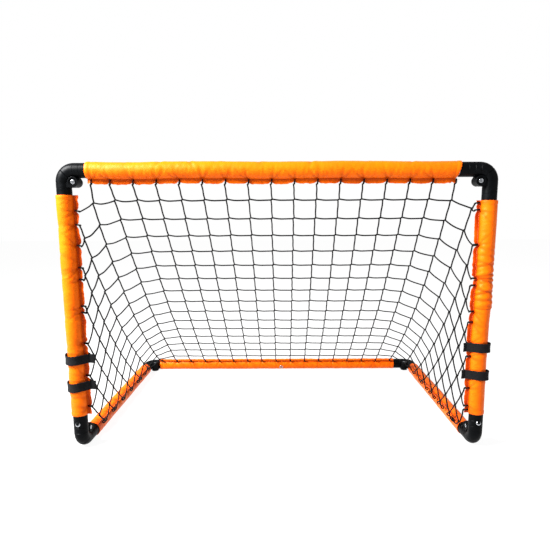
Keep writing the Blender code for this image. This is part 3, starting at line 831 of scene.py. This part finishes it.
# drag lines low on the crossbar's front, from the net's weight: place, lean, width and depth
dragLines = [
    (0.075, 0.9, 0.004, 0.0009),
    (0.150, -0.7, 0.005, 0.0011),
    (0.205, 0.8, 0.004, 0.0010),
    (0.262, -0.5, 0.005, 0.0011),
    (0.345, 0.6, 0.006, 0.0008),
    (0.452, -0.6, 0.005, 0.0009),
    (0.560, 0.8, 0.006, 0.0009),
    (0.655, -0.8, 0.004, 0.0012),
]


def crossbarShape(S, A):
    length = S.max()
    extra = 0 * S
    crease = 0 * S
    for k, (at, lean, width, depth) in enumerate(dragLines):
        line = bell(S - at - lean * 0.010 * (A - math.pi), width)
        window = bell(A - 1.9 - 0.5 * (k % 3), 1.5)
        extra -= depth * line * window
        extra += 0.7 * depth * bell(S - at - 0.007 - lean * 0.010 * (A - math.pi), width) * window
        # painted shade along each drag line
        crease = np.maximum(crease, 0.55 * line * window)
    sag = 0.0007 * np.sin(S / length * math.pi * 5)
    return extra, np.stack([sag[:, 0], 0 * sag[:, 0]], 1), crease


# folds round the left post's sleeve, from its lower end, and the right post's bunched part
postFolds = {"left": (0.040, 0.100, 0.155, 0.215, 0.300, 0.350, 0.405), "step": 0.232, "waist": 0.055, "pitch": 0.0112}


def leftPostShape(S, A):
    extra, crease = 0 * S, 0 * S
    for k, at in enumerate(postFolds["left"]):
        line = bell(S - at - 0.006 * math.sin(k * 2.1) * (A - math.pi), 0.005)
        extra -= 0.0008 * line
        # painted shade in each fold, most near the flap
        crease = np.maximum(crease, 0.35 * line * (0.5 + 0.5 * np.cos(A)))
    return extra, np.zeros((len(S), 2)), crease


def rightPostShape(S, A):
    # bunched in its middle: a narrow waist, wrinkles above and below it, and a step where it was pushed up
    step = postFolds["step"]
    waist = step + postFolds["waist"]
    extra, crease = 0 * S, 0 * S
    zone = bell(S - waist, 0.060)
    for k in range(11):
        at = step + 0.008 + k * postFolds["pitch"]
        lean = 0.0045 * math.sin(k * 2.4 + 0.6)
        line = bell(S - at - lean * (A - math.pi), 0.0028)
        ridge = bell(S - at - 0.0055 - lean * (A - math.pi), 0.0032)
        extra += zone * (-0.0013 * line + 0.0010 * ridge)
        # painted shade in each wrinkle
        crease = np.maximum(crease, 0.75 * zone * line)
    extra -= 0.0022 * bell(S - waist, 0.011) * (0.5 + 0.5 * np.cos(A))
    upper = rise(S - step, 0.0007)
    extra += 0.0011 * upper * bell(S - step, 0.020)
    # painted shade along the step
    crease = np.maximum(crease, 0.8 * bell(S - step, 0.0012))
    low = 1 - upper[:, 0]
    hang = 0.0028 * low * np.clip((step - S[:, 0]) / 0.05 + 0.35, 0, 1) * bell(S[:, 0] - 0.14, 0.16)
    return extra, np.stack([hang, 0 * low], 1), crease


def squeezed(shape, places):
    # straps draw the cloth in under them and it swells beside them
    def both(S, A):
        extra, shift, crease = shape(S, A)
        for at in places:
            beside = bell(S - at - 0.017, 0.006) + bell(S - at + 0.017, 0.006)
            extra = extra - 0.0009 * bell(S - at, 0.010) + 0.0005 * beside
            # painted shade just beyond each strap's edges
            crease = np.maximum(crease, 0.5 * bell(np.abs(S - at) - 0.0125, 0.0018))
        return extra, shift, crease

    return both


def baseShape(S, A):
    return 0 * S, np.zeros((len(S), 2)), 0 * S


baseCloth = {"sideRadius": 0.0166, "rearRadius": 0.0162, "floor": 0.0003}


def makeSleeve(nodeName, axis, centre, flapTo, seed, shape, body, **more):
    # centre is the tube's axis; the sleeve runs along it between the ends of its CAD node
    low, high = sleeveEnds(nodeName, axis)
    start, end = Vector(centre), Vector(centre)
    start[axis], end[axis] = low, high
    name = nodeName.replace("_sleeve", "")
    obj, made = sewnSleeve(f"{name}_cloth", start, end, flapTo, tiePlaces[name], seed, shape, **more)
    declareSleeve(obj, nodeName, body, seamStitches(name, made, body))


def makeSleeves():
    makeSleeve("crossbar_sleeve", 0, (0, frontY, topZ), -Z, 1, crossbarShape, "front_frame", slant=0.009)
    for side, x, inward, seed, shape in (
        ("left", -postX, X, 2, leftPostShape), ("right", postX, -X, 3, rightPostShape)
    ):
        low, _ = sleeveEnds(f"{side}_post_sleeve", 2)
        straps = []
        for level in ("lower", "upper"):
            a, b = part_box(f"{side}_{level}_strap")
            straps.append((a.z + b.z) / 2 - low)
        # the posts' flaps get deeper painted shade
        makeSleeve(f"{side}_post_sleeve", 2, (x, frontY, 0), inward, seed, squeezed(shape, straps), "front_frame",
                   flapScale=0.92, flapTone=0.95)
        makeSleeve(f"{side}_side_sleeve", 1, (x, 0, baseZ), (inward + Z).normalized(), seed + 4, baseShape,
                   "base_frame", radius=baseCloth["sideRadius"], floorZ=baseCloth["floor"])
    makeSleeve("rear_sleeve", 0, (0, rearY, baseZ), (-Y + Z).normalized(), 9, baseShape, "base_frame",
               radius=baseCloth["rearRadius"], floorZ=baseCloth["floor"])


makeSleeves()
print("sleeves sewn")

# Two sockets that meet at a 45 degree seam and turn about the pin. In an elbow's own frame the pin
# runs along z through the origin and leg A along +x at y = -bendRadius.
elbow = {
    "sides": 56,
    "bendSteps": 9,
    "boreStart": 0.005,
    "bore": 0.0128,
    "barrelRadius": 0.0105,
    "barrelHalf": 0.013,
    "tenonHalf": 0.0048,
    "gap": 0.0003,
    "rimWidth": 0.0016,
    "rimDepth": 0.0007,
    "pocketRadius": 0.0060,
    "pocketFloor": 0.0110,
    "pinBore": 0.0033,
    "buttonHole": 0.0056,
    "edge": 0.0007,  # round the seam's rim
    "barrelClear": 0.0005,
    "knuckleEdge": 0.0005,
    "knuckleRise": 0.0004,
    "pocketWall": 0.0003,
    "skirt": 0.0012,  # a knuckle's web stops this far inside its face
    # along the leg: a moulded line at the bend's end, a shallow waist and a collar
    "profile": [
        (0.0004, -0.00045), (0.0009, -0.00045), (0.0013, 0),
        (0.0120, 0), (0.0124, -0.00035), (0.0130, -0.00035), (0.0134, 0),
        (0.0250, 0), (0.0254, -0.0003), (0.0260, -0.0003), (0.0264, 0),
        (0.0400, 0), (0.0416, -0.0001), (0.0420, -0.0006),
    ],
}

# the hinge's rivets: a shank, a domed head at each end and a cross recess in it
rivetSize = {
    "shank": 0.0030,
    "head": 0.0046,
    "soften": 0.0009,
    "seatGap": 0.0003,
    "headTop": 0.0017,  # above the pocket's floor
    "crossLong": 0.0026,
    "crossWide": 0.00045,
    "crossDeep": 0.0009,
}


def boolean(body, tool, operation):
    modifier = body.modifiers.new("cut", "BOOLEAN")
    modifier.operation = operation
    modifier.solver = "EXACT"
    modifier.object = tool
    applyAll(body)
    discard(tool)


def barrel(low, high, radius, sides=56, soften=0.0):
    deselect()
    middle = (0, 0, (low + high) / 2)
    bpy.ops.mesh.primitive_cylinder_add(vertices=sides, radius=radius, depth=high - low, location=middle)
    obj = bpy.context.object
    if soften:
        bevel(obj, soften, 3, 50)
    return obj


def block(low, high):
    deselect()
    low, high = Vector(low), Vector(high)
    bpy.ops.mesh.primitive_cube_add(size=1, location=(low + high) / 2)
    bpy.context.object.scale = high - low
    obj = bpy.context.object
    settle(obj)
    return obj


def bentLeg():
    # the start ring stands on the seam, is spun to the bend's end and then drawn out along the leg
    angle = math.radians(-135) + elbow["gap"] / 2 / bendRadius
    centre = Vector((math.cos(angle), math.sin(angle), 0)) * bendRadius
    deselect()
    rim = elbowRadius - elbow["edge"]
    bpy.ops.mesh.primitive_circle_add(vertices=elbow["sides"], radius=rim, location=centre,
                                      rotation=(math.pi / 2, 0, angle))
    obj = bpy.context.object
    settle(obj)
    pick(obj)
    bpy.ops.object.mode_set(mode="EDIT")
    bpy.ops.mesh.select_mode(type="VERT")
    bpy.ops.mesh.select_all(action="SELECT")
    sweep = math.radians(-90) - angle
    first = elbow["edge"] / bendRadius
    bpy.ops.mesh.spin(steps=1, angle=-first, center=(0, 0, 0), axis=(0, 0, 1))
    grow = elbowRadius / rim
    middle = Vector((math.cos(angle + first), math.sin(angle + first), 0)) * bendRadius
    bpy.ops.transform.resize(value=(grow, grow, grow), center_override=middle)
    bpy.ops.mesh.spin(steps=elbow["bendSteps"], angle=-(sweep - first), center=(0, 0, 0), axis=(0, 0, 1))
    x, radius = 0.0, elbowRadius
    for place, change in elbow["profile"]:
        bpy.ops.mesh.extrude_region_move(TRANSFORM_OT_translate={"value": (place - x, 0, 0)})
        wanted = elbowRadius + change
        k = wanted / radius
        bpy.ops.transform.resize(value=(1, k, k), center_override=(place, -bendRadius, 0))
        x, radius = place, wanted
    bpy.ops.mesh.extrude_region_move(TRANSFORM_OT_translate={"value": (0, 0, 0)})
    k = elbow["bore"] / radius
    bpy.ops.transform.resize(value=(1, k, k), center_override=(x, -bendRadius, 0))
    bpy.ops.mesh.extrude_region_move(TRANSFORM_OT_translate={"value": (elbow["boreStart"] - x, 0, 0)})
    bpy.ops.mesh.edge_face_add()
    bpy.ops.object.mode_set(mode="OBJECT")
    bm = bmesh.new()
    bm.from_mesh(obj.data)
    bmesh.ops.holes_fill(bm, edges=[e for e in bm.edges if e.is_boundary], sides=0)
    bm.to_mesh(obj.data)
    bm.free()
    fixNormals(obj)
    return obj


def tenonMaster():
    body = bentLeg()
    clear, outer = elbow["barrelRadius"] + elbow["barrelClear"], elbow["barrelHalf"] + 0.0010
    for low, high in ((elbow["tenonHalf"], outer), (-outer, -elbow["tenonHalf"])):
        boolean(body, barrel(low, high, clear), "DIFFERENCE")
    half = elbow["tenonHalf"]
    boolean(body, barrel(-half, half, elbow["barrelRadius"]), "UNION")
    boolean(body, block((0, -bendRadius, -half), (elbow["barrelRadius"], 0, half)), "UNION")
    boolean(body, barrel(-0.03, 0.03, elbow["pinBore"], 24), "DIFFERENCE")
    body.name = "tenon_master"
    return body


def cheek(side):
    # an outer knuckle: its end has a raised rim round a sunk face, with a pocket for the rivet's head
    inner = elbow["tenonHalf"] + elbow["gap"]
    obj = barrel(inner, elbow["barrelHalf"], elbow["barrelRadius"])
    pick(obj)
    bpy.ops.object.mode_set(mode="EDIT")
    bpy.ops.mesh.select_all(action="DESELECT")
    bpy.ops.object.mode_set(mode="OBJECT")
    for face in obj.data.polygons:
        face.select = face.normal.z > 0.9
    bpy.ops.object.mode_set(mode="EDIT")
    bpy.ops.mesh.select_mode(type="FACE")
    bpy.ops.mesh.inset(thickness=elbow["knuckleEdge"], depth=0.0)
    bpy.ops.transform.translate(value=(0, 0, elbow["knuckleRise"]))
    bpy.ops.mesh.inset(thickness=elbow["rimWidth"], depth=0.0)
    bpy.ops.mesh.inset(thickness=elbow["pocketWall"], depth=-elbow["rimDepth"] - elbow["knuckleRise"])
    face = elbow["barrelRadius"] - elbow["knuckleEdge"] - elbow["rimWidth"] - elbow["pocketWall"]
    pocket = face - elbow["pocketRadius"]
    bpy.ops.mesh.inset(thickness=pocket, depth=0.0)
    bpy.ops.mesh.inset(thickness=0.0002, depth=-(elbow["barrelHalf"] - elbow["rimDepth"] - elbow["pocketFloor"]))
    bpy.ops.object.mode_set(mode="OBJECT")
    settle(obj)
    if side < 0:
        obj.data.transform(Matrix.Rotation(math.pi, 4, "X"))
    return obj


def buttonCutter():
    low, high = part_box("left_lock_button")
    at = (low.z + high.z) / 2 - pinZ
    hole = barrel(0.004, 0.022, elbow["buttonHole"], 40)
    settle(hole)
    hole.data.transform(Matrix.Translation((at, -bendRadius, 0)) @ Matrix.Rotation(math.pi / 2, 4, "X"))
    return hole


def forkMaster(withButton):
    body = bentLeg()
    if withButton:
        boolean(body, buttonCutter(), "DIFFERENCE")
    inner = elbow["tenonHalf"] + elbow["gap"]
    boolean(body, barrel(-inner, inner, elbow["barrelRadius"] + elbow["barrelClear"]), "DIFFERENCE")
    for side in (-1, 1):
        low, high = sorted((side * inner, side * (elbow["barrelHalf"] - elbow["skirt"])))
        boolean(body, block((0, -bendRadius, low), (elbow["barrelRadius"], -0.003, high)), "UNION")
        ends = sorted((side * elbow["pocketFloor"], side * 0.02))
        boolean(body, barrel(*ends, elbow["pocketRadius"], 40), "DIFFERENCE")
        boolean(body, cheek(side), "UNION")
    boolean(body, barrel(-0.03, 0.03, elbow["pinBore"], 24), "DIFFERENCE")
    body.name = "fork_master"
    return body


# leg A and leg B of each elbow
elbowLegs = {
    "top_left": (X, -Z), "top_right": (-X, -Z), "front_left": (Y, Z),
    "front_right": (Y, Z), "rear_left": (-Y, X), "rear_right": (-Y, -X),
}
halfNames = {"top": ("bar", "post"), "front": ("base", "post"), "rear": ("side", "bar")}


def pinMaster():
    seat, top = elbow["pocketFloor"] + rivetSize["seatGap"], elbow["pocketFloor"] + rivetSize["headTop"]
    body = barrel(-top + 0.0002, top - 0.0002, rivetSize["shank"], 32)
    long_, wide = rivetSize["crossLong"], rivetSize["crossWide"]
    for side in (-1, 1):
        head = barrel(seat, top, rivetSize["head"], 40, soften=rivetSize["soften"])
        if side < 0:
            settle(head)
            head.data.transform(Matrix.Rotation(math.pi, 4, "X"))
        settle(head)
        boolean(body, head, "UNION")
        ends = sorted((side * (top - rivetSize["crossDeep"]), side * (top + 0.001)))
        for a, b in ((long_, wide), (wide, long_)):
            boolean(body, block((-a, -b, ends[0]), (a, b, ends[1])), "DIFFERENCE")
    return body


def makeElbows():
    tenon, fork, locking, rivet = tenonMaster(), forkMaster(False), forkMaster(True), pinMaster()
    for master in (tenon, fork, locking, rivet):
        fixNormals(master)
    for place, (legA, legB) in elbowLegs.items():
        row = place.split("_")[0]
        low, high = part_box(f"{place}_hinge_pin")
        pinAt = (low + high) / 2
        first, second = halfNames[row]
        straight, turned = placed(pinAt, legA, legB), placed(pinAt, legB, legA)
        halves = [
            (tenon, straight, f"{place}_elbow_{first}_half", first),
            (locking if row == "front" else fork, turned, f"{place}_elbow_{second}_half", second),
            (rivet, straight, f"{place}_hinge_pin", first),
        ]
        for master, matrix, nodeName, part in halves:
            obj = copyOf(master, nodeName.replace("elbow", "moulded").replace("hinge_pin", "rivet"), matrix)
            if matrix.determinant() < 0:
                obj.data.flip_normals()
            bodyName = bodyOf(nodeName)
            smooth(obj, 32)
            dress(obj, zincFinish if master is rivet else plasticFinish)
            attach(obj, bodyName)
            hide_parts(nodeName)
    discard(tenon, fork, locking, rivet)


def bodyOf(nodeName):
    if nodeName.startswith("top") or (nodeName.startswith("front") and "post_half" in nodeName):
        return "front_frame"
    return "base_frame"


makeElbows()
print("elbows moulded")

# lock buttons: a domed disc, and a black disc off its centre, a painted dark reflection on the dome's upper part, that
# leaves a bright crescent below
buttonSize = {
    "radius": 0.0052,
    "dome": 0.0026,
    "darkReflectionRadius": 0.0037,
    "darkReflectionDepth": 0.004,
    "darkReflectionEdge": 0.0009,
    "darkReflectionIn": 0.0017,
    "darkReflectionUp": 0.0016,
}


def turnedDisc(name, radius, depth, place, sides, edge, segments):
    # its axis runs along y
    deselect()
    bpy.ops.mesh.primitive_cylinder_add(vertices=sides, radius=radius, depth=depth, location=place,
                                        rotation=(math.pi / 2, 0, 0))
    obj = bpy.context.object
    settle(obj)
    bevel(obj, edge, segments, 50)
    obj.name = name
    smooth(obj, 40)
    return obj


def makeButtons():
    for side in ("left", "right"):
        low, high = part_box(f"{side}_lock_button")
        x, z = (low.x + high.x) / 2, (low.z + high.z) / 2
        obj = turnedDisc(f"{side}_domed_button", buttonSize["radius"], high.y - low.y, (x, (low.y + high.y) / 2, z),
                         48, buttonSize["dome"], 8)
        dress(obj, zincFinish)
        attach(obj, f"lock_button_{side}")
        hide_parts(f"{side}_lock_button")
        # the black disc is a painted dark reflection over the upper part of the dome
        place = (x, low.y + buttonSize["darkReflectionIn"], z + buttonSize["darkReflectionUp"])
        darkReflection = turnedDisc(f"{side}_button_dark_reflection", buttonSize["darkReflectionRadius"], buttonSize["darkReflectionDepth"], place,
                          40, buttonSize["darkReflectionEdge"], 4)
        dress(darkReflection, plasticFinish)
        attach(darkReflection, f"lock_button_{side}")


makeButtons()
print("buttons turned")

# straps: loop tape, wrapped loosely round the posts
strapTape = {
    "left_lower": {"tilt": 0.10, "slack": 0.0018, "twist": 0.05, "tab": 0.018},
    "left_upper": {"tilt": 0.13, "slack": 0.0022, "twist": -0.04, "tab": 0.020},
    "right_lower": {"tilt": -0.05, "slack": 0.0012, "twist": 0.03, "tab": 0.014},
    "right_upper": {"tilt": -0.04, "slack": 0.0010, "twist": -0.03, "tab": 0.012},
    "width": 0.0195,
    "thickness": 0.0011,
    "gap": 0.0012,  # to the sleeve
    "pastFlap": 0.0022,
    "lap": 0.0016,  # from the flap's middle, where the two ends stick together
    "ripple": 0.0006,
    "curl": 0.0003,
    "edge": 0.00025,
    "steps": 120,
    "across": 8,
}


def makeStrap(key):
    side, level = key.split("_")
    fit = strapTape[key]
    low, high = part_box(f"{key}_strap")
    centre = Vector((-postX if side == "left" else postX, frontY, (low.z + high.z) / 2))
    inward = X if side == "left" else -X
    steps, across, lap = strapTape["steps"], strapTape["across"], strapTape["lap"]
    bore = sleeveCloth["radius"] + strapTape["gap"] + strapTape["thickness"]
    tip = netLayout["flapReach"] + strapTape["pastFlap"]
    spread = math.acos(bore / tip)
    # once round, and a tab that goes on over the start on the inner side
    path = []
    ring = np.linspace(spread, math.tau - spread, steps)
    for a in ring:
        swell = fit["slack"] * (0.5 - 0.5 * math.cos(a)) ** 2
        path.append(((bore + swell) * math.cos(a), (bore + swell * 0.6) * math.sin(a)))
    # the two ends meet on the flap and stick together, the outer one running on as a tab
    (firstA, firstB), (lastA, lastB) = path[0], path[-1]
    lead = [(tip * (1 - t) + firstA * t, lap * (1 - t) + firstB * t) for t in np.linspace(0, 0.93, 10)]
    trail = [(lastA * (1 - t) + tip * t, lastB * (1 - t) - lap * t) for t in np.linspace(0.07, 1, 10)]
    tab = [(tip + fit["tab"] * t * 0.55, -lap - 0.0010 * math.sin(t * 2.5)) for t in np.linspace(0.15, 1, 6)]
    line = np.array(lead + path + trail + tab)
    count = len(line)
    lengthAlong = np.concatenate([[0], np.cumsum(np.linalg.norm(np.diff(line, axis=0), axis=1))])
    points = np.zeros((count, across, 3))
    uv = np.zeros((count, across, 2))
    for i, (a, b) in enumerate(line):
        for j in range(across):
            w = (j / (across - 1) - 0.5) * strapTape["width"]
            lift = fit["tilt"] * b + fit["twist"] * a * 0.4 + strapTape["ripple"] * math.sin(lengthAlong[i] * 70)
            p = centre + inward * a + Y * b + Z * (w + lift)
            edge = strapTape["curl"] * math.cos(j * math.pi / (across - 1) * 2)
            n = math.atan2(b, a)
            p += (inward * math.cos(n) + Y * math.sin(n)) * edge
            points[i, j] = p
            uv[i, j] = (lengthAlong[i], w)
    obj = gridMesh(f"{key}_loop_tape", points)
    layer = obj.data.uv_layers.new(name="cloth")
    flatUv = uv.reshape(-1, 2)
    for loop in obj.data.loops:
        layer.data[loop.index].uv = flatUv[loop.vertex_index]
    wall = obj.modifiers.new("tape", "SOLIDIFY")
    wall.thickness = strapTape["thickness"]
    wall.offset = 0
    bevel(obj, strapTape["edge"], 2, 60)
    fixNormals(obj, merge=False)
    smooth(obj, 50)
    dress(obj, pileFinish)
    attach(obj, "front_frame")
    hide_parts(f"{key}_strap")


for key in ("left_lower", "left_upper", "right_lower", "right_upper"):
    makeStrap(key)
print("straps wrapped")


# the eyelet for a ground peg, a rolled ring
eyeletRing = {"middle": 0.0045, "roll": 0.0013, "flatten": 0.62, "turn": 20, "lift": 0.0006}


def makeEyelet():
    low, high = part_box("peg_eyelet")
    centre = (low + high) / 2
    out = (Matrix.Rotation(math.radians(eyeletRing["turn"]), 3, "X") @ -Y).normalized()
    deselect()
    bpy.ops.mesh.primitive_torus_add(major_segments=48, minor_segments=16, major_radius=eyeletRing["middle"],
                                     minor_radius=eyeletRing["roll"])
    obj = bpy.context.object
    obj.data.transform(Matrix.Diagonal((1, 1, eyeletRing["flatten"], 1)))
    axis = out.cross(X).normalized()
    seat = Vector((centre.x, rearY, baseZ)) + out * (sleeveCloth["radius"] + eyeletRing["lift"])
    face = placed(seat, axis, out.cross(axis))
    obj.data.transform(face)
    obj.name = "rolled_eyelet"
    smooth(obj, 60)
    dress(obj, zincFinish)
    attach(obj, "base_frame")
    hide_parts("peg_eyelet")


makeEyelet()
print("eyelet set")

# the net's twine
netTwine = {
    "radius": 0.0016,
    "sides": 6,
    "parts": 3,  # lengths that a mesh side is settled in
    "smooth": 3,  # and drawn in, each
    "rowSlack": 1.0008,
    "columnSlack": 1.0005,
    "jog": 0.0014,
    "knot": (0.0021, 0.0019, 0.0026),
    "knotSpread": 0.15,
    "knotLean": (0.4, 0.9),
    "tieIn": 0.0042,  # from the flap's tip to the middle of a tie's loop
    "tie": (0.0046, 0.0026, 0.0016),  # its half sizes outward, across and along the flap
    "tieSteps": 14,
    "spread": 0.006,
    "dip": 0.0006,
    "floor": 0.003,
    "keep": 0.94,  # of the speed, from round to round
    "passes": 10,
    "haste": 1.6,
    "rounds": 90,
    "pull": 0.000004,  # drop in the first round; slow, so that the links don't stretch
}


def settleNet():
    # every strand is a chain of short links that keep their length while gravity draws them down
    fixed = [tied_ for _, tied_ in netNodes]
    points = [np.array(p, float) for p, _ in netNodes]
    chains = []
    links, lengths = [], []
    for a, b, kind in netEdges:
        slack = netTwine["rowSlack"] if kind == "row" else netTwine["columnSlack"]
        slack *= 1 + netTwine["spread"] * rng.uniform(-0.6, 1)
        span = np.linalg.norm(points[b] - points[a]) * slack / netTwine["parts"]
        chain = [a]
        for k in range(1, netTwine["parts"]):
            t = k / netTwine["parts"]
            points.append(points[a] * (1 - t) + points[b] * t + np.array([0, 0, -netTwine["dip"] * k]))
            fixed.append(False)
            chain.append(len(points) - 1)
        chain.append(b)
        chains.append((chain, kind))
        for p, q in zip(chain, chain[1:]):
            links.append((p, q))
            lengths.append(span)
    P = np.array(points)
    old = P.copy()
    free = ~np.array(fixed)
    L, rest = np.array(links), np.array(lengths)
    valence = np.bincount(L.ravel(), minlength=len(P)).astype(float)[:, None]
    weightA = free[L[:, 0]].astype(float)
    weightB = free[L[:, 1]].astype(float)
    share = weightA + weightB
    share[share == 0] = 1
    for _ in range(netTwine["rounds"]):
        speed = (P - old) * netTwine["keep"]
        old = P.copy()
        P[free] += speed[free] + np.array([0, 0, -netTwine["pull"]])
        for _ in range(netTwine["passes"]):
            d = P[L[:, 1]] - P[L[:, 0]]
            size = np.linalg.norm(d, axis=1)
            stretch = np.maximum(size - rest, 0) / np.maximum(size, 1e-9)  # twine pulls and never pushes
            push = d * (stretch / share)[:, None]
            move = np.zeros_like(P)
            np.add.at(move, L[:, 0], push * weightA[:, None])
            np.add.at(move, L[:, 1], -push * weightB[:, None])
            P += move * (netTwine["haste"] / valence)
        P[:, 2] = np.maximum(P[:, 2], netTwine["floor"])
    return P, chains


def curveThrough(places, per):
    # Catmull-Rom through the places, with per lengths between each two
    places = [places[0] * 2 - places[1]] + list(places) + [places[-1] * 2 - places[-2]]
    out = []
    for i in range(1, len(places) - 2):
        a, b, c, d = places[i - 1 : i + 3]
        for k in range(per):
            t = k / per
            square, cube = 2 * a - 5 * b + 4 * c - d, 3 * b - a - 3 * c + d
            out.append(0.5 * (2 * b + (c - a) * t + square * t**2 + cube * t**3))
    out.append(places[-2])
    return np.array(out)


def tubeMesh(verts, faces, lay, line, radius, sides):
    # a tube along line, its ends closed, added to the lists
    base = len(verts)
    tangent = np.gradient(line, axis=0)
    tangent /= np.linalg.norm(tangent, axis=1)[:, None]
    up = np.array([0.31, 0.22, 0.93])
    run = 0.0
    for i, p in enumerate(line):
        t = tangent[i]
        side = np.cross(t, up)
        side /= np.linalg.norm(side)
        up = np.cross(side, t)
        if i:
            run += float(np.linalg.norm(p - line[i - 1]))
        for k in range(sides):
            a = math.tau * k / sides
            verts.append(tuple(p + radius * (math.cos(a) * side + math.sin(a) * up)))
            lay.append((run, k / sides))
    rings = len(line)
    for i in range(rings - 1):
        for k in range(sides):
            a, b = base + i * sides + k, base + i * sides + (k + 1) % sides
            faces.append((a, a + sides, b + sides, b))
    faces.append(tuple(base + k for k in range(sides)))
    faces.append(tuple(base + (rings - 1) * sides + k for k in reversed(range(sides))))


def knotShape():
    deselect()
    bpy.ops.mesh.primitive_ico_sphere_add(subdivisions=1, radius=1)
    obj = bpy.context.object
    verts = np.array([v.co[:] for v in obj.data.vertices])
    faces = [tuple(p.vertices) for p in obj.data.polygons]
    discard(obj)
    return verts, faces


def makeNet():
    P, chains = settleNet()
    verts, faces, lay = [], [], []
    for chain, kind in chains:
        places = P[chain].copy()
        if kind == "column":
            # a knot sets the strand over by its own width
            upper, lower = (0, -1) if places[0][2] > places[-1][2] else (-1, 0)
            places[upper][0] -= netTwine["jog"]
            places[lower][0] += netTwine["jog"]
        else:
            places[0][2] += 0.7 * netTwine["jog"]
            places[-1][2] -= 0.7 * netTwine["jog"]
        tubeMesh(verts, faces, lay, curveThrough(places, netTwine["smooth"]), netTwine["radius"], netTwine["sides"])
    shape, shapeFaces = knotShape()
    for node in dict.fromkeys(end for chain, _ in chains for end in (chain[0], chain[-1])):
        size = np.array(netTwine["knot"]) * (1 + netTwine["knotSpread"] * rng.uniform(-1, 1))
        lean = rng.uniform(*netTwine["knotLean"])
        turn = np.array([[math.cos(lean), 0, math.sin(lean)], [0, 1, 0], [-math.sin(lean), 0, math.cos(lean)]])
        base = len(verts)
        for v in shape:
            verts.append(tuple(P[node] + turn @ (v * size)))
            lay.append((v[2] * 0.004, v[0]))
        faces.extend(tuple(base + k for k in face) for face in shapeFaces)
    # each tie is a loop of the same twine through the flap
    reach, width, drift = netTwine["tie"]
    for point, isTied in netNodes:
        if not isTied:
            continue
        outwards, run = tieFrame(point)
        centre = point - outwards * netTwine["tieIn"]
        normal = np.cross(run, outwards)
        ring = []
        for k in range(netTwine["tieSteps"] + 1):
            a = math.tau * k / netTwine["tieSteps"] + 0.2
            around = outwards * reach * math.cos(a) + normal * width * math.sin(a)
            ring.append(centre + around + run * drift * math.sin(a / 2))
        tubeMesh(verts, faces, lay, np.array(ring), netTwine["radius"], netTwine["sides"])
    obj = newMesh("knotted_net", [tuple(map(float, v)) for v in verts], faces)
    layer = obj.data.uv_layers.new(name="lay")
    for loop in obj.data.loops:
        run, turn = lay[loop.vertex_index]
        layer.data[loop.index].uv = (run * 1000 / twine["lay"], turn)
    fixNormals(obj, merge=False)
    smooth(obj, 60)
    dress(obj, twineFinish)
    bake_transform(obj, "base_frame", "front_frame", (0, slopeLow[0], slopeLow[1]), (0, slopeTop[0], slopeTop[1]))
    weights = obj.data.attributes["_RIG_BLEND"]
    for i, vertex in enumerate(obj.data.vertices):
        angle = math.degrees(math.atan2(vertex.co.z - pinZ, vertex.co.y - pinY))
        weights.data[i].value = min(max(angle / 90, 0), 1)
    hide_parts("net")
    return P


def tieFrame(point):
    # which way the flap points, and along it
    x, y, z = point
    slope = 0.7071
    if onSide(point) and y < frontY + netLayout["postClear"]:
        return np.array([-math.copysign(1, x), 0, 0]), np.array([0, 0, 1.0])
    if onSide(point):
        return np.array([-math.copysign(slope, x), 0, slope]), np.array([0, 1.0, 0])
    if z > topZ - 2 * netLayout["flapReach"]:
        return np.array([0, 0, -1.0]), np.array([1.0, 0, 0])
    return np.array([0, -slope, slope]), np.array([1.0, 0, 0])


netPlaces = makeNet()
print("net settled, lowest point", round(float(netPlaces[:, 2].min()), 4))

# the tubes keep their own shape
for tube in ("crossbar", "left_post", "right_post", "left_side", "right_side", "rear"):
    dress(bpy.data.objects[f"{tube}_tube"], steelFinish)


def makeSprings():
    # the leg behind the button goes in with it, and the far leg stays against the tube
    for side in ("left", "right"):
        node = bpy.data.objects[f"{side}_lock_spring"]
        low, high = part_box(node.name)
        obj = copyOf(node, f"{side}_hairpin_strip", node.matrix_world)
        fixNormals(obj)
        dress(obj, steelFinish)
        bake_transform(obj, f"lock_button_{side}", "front_frame", (0, low.y + 0.001, 0), (0, high.y - 0.001, 0))
        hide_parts(node.name)


makeSprings()
print("springs bent")
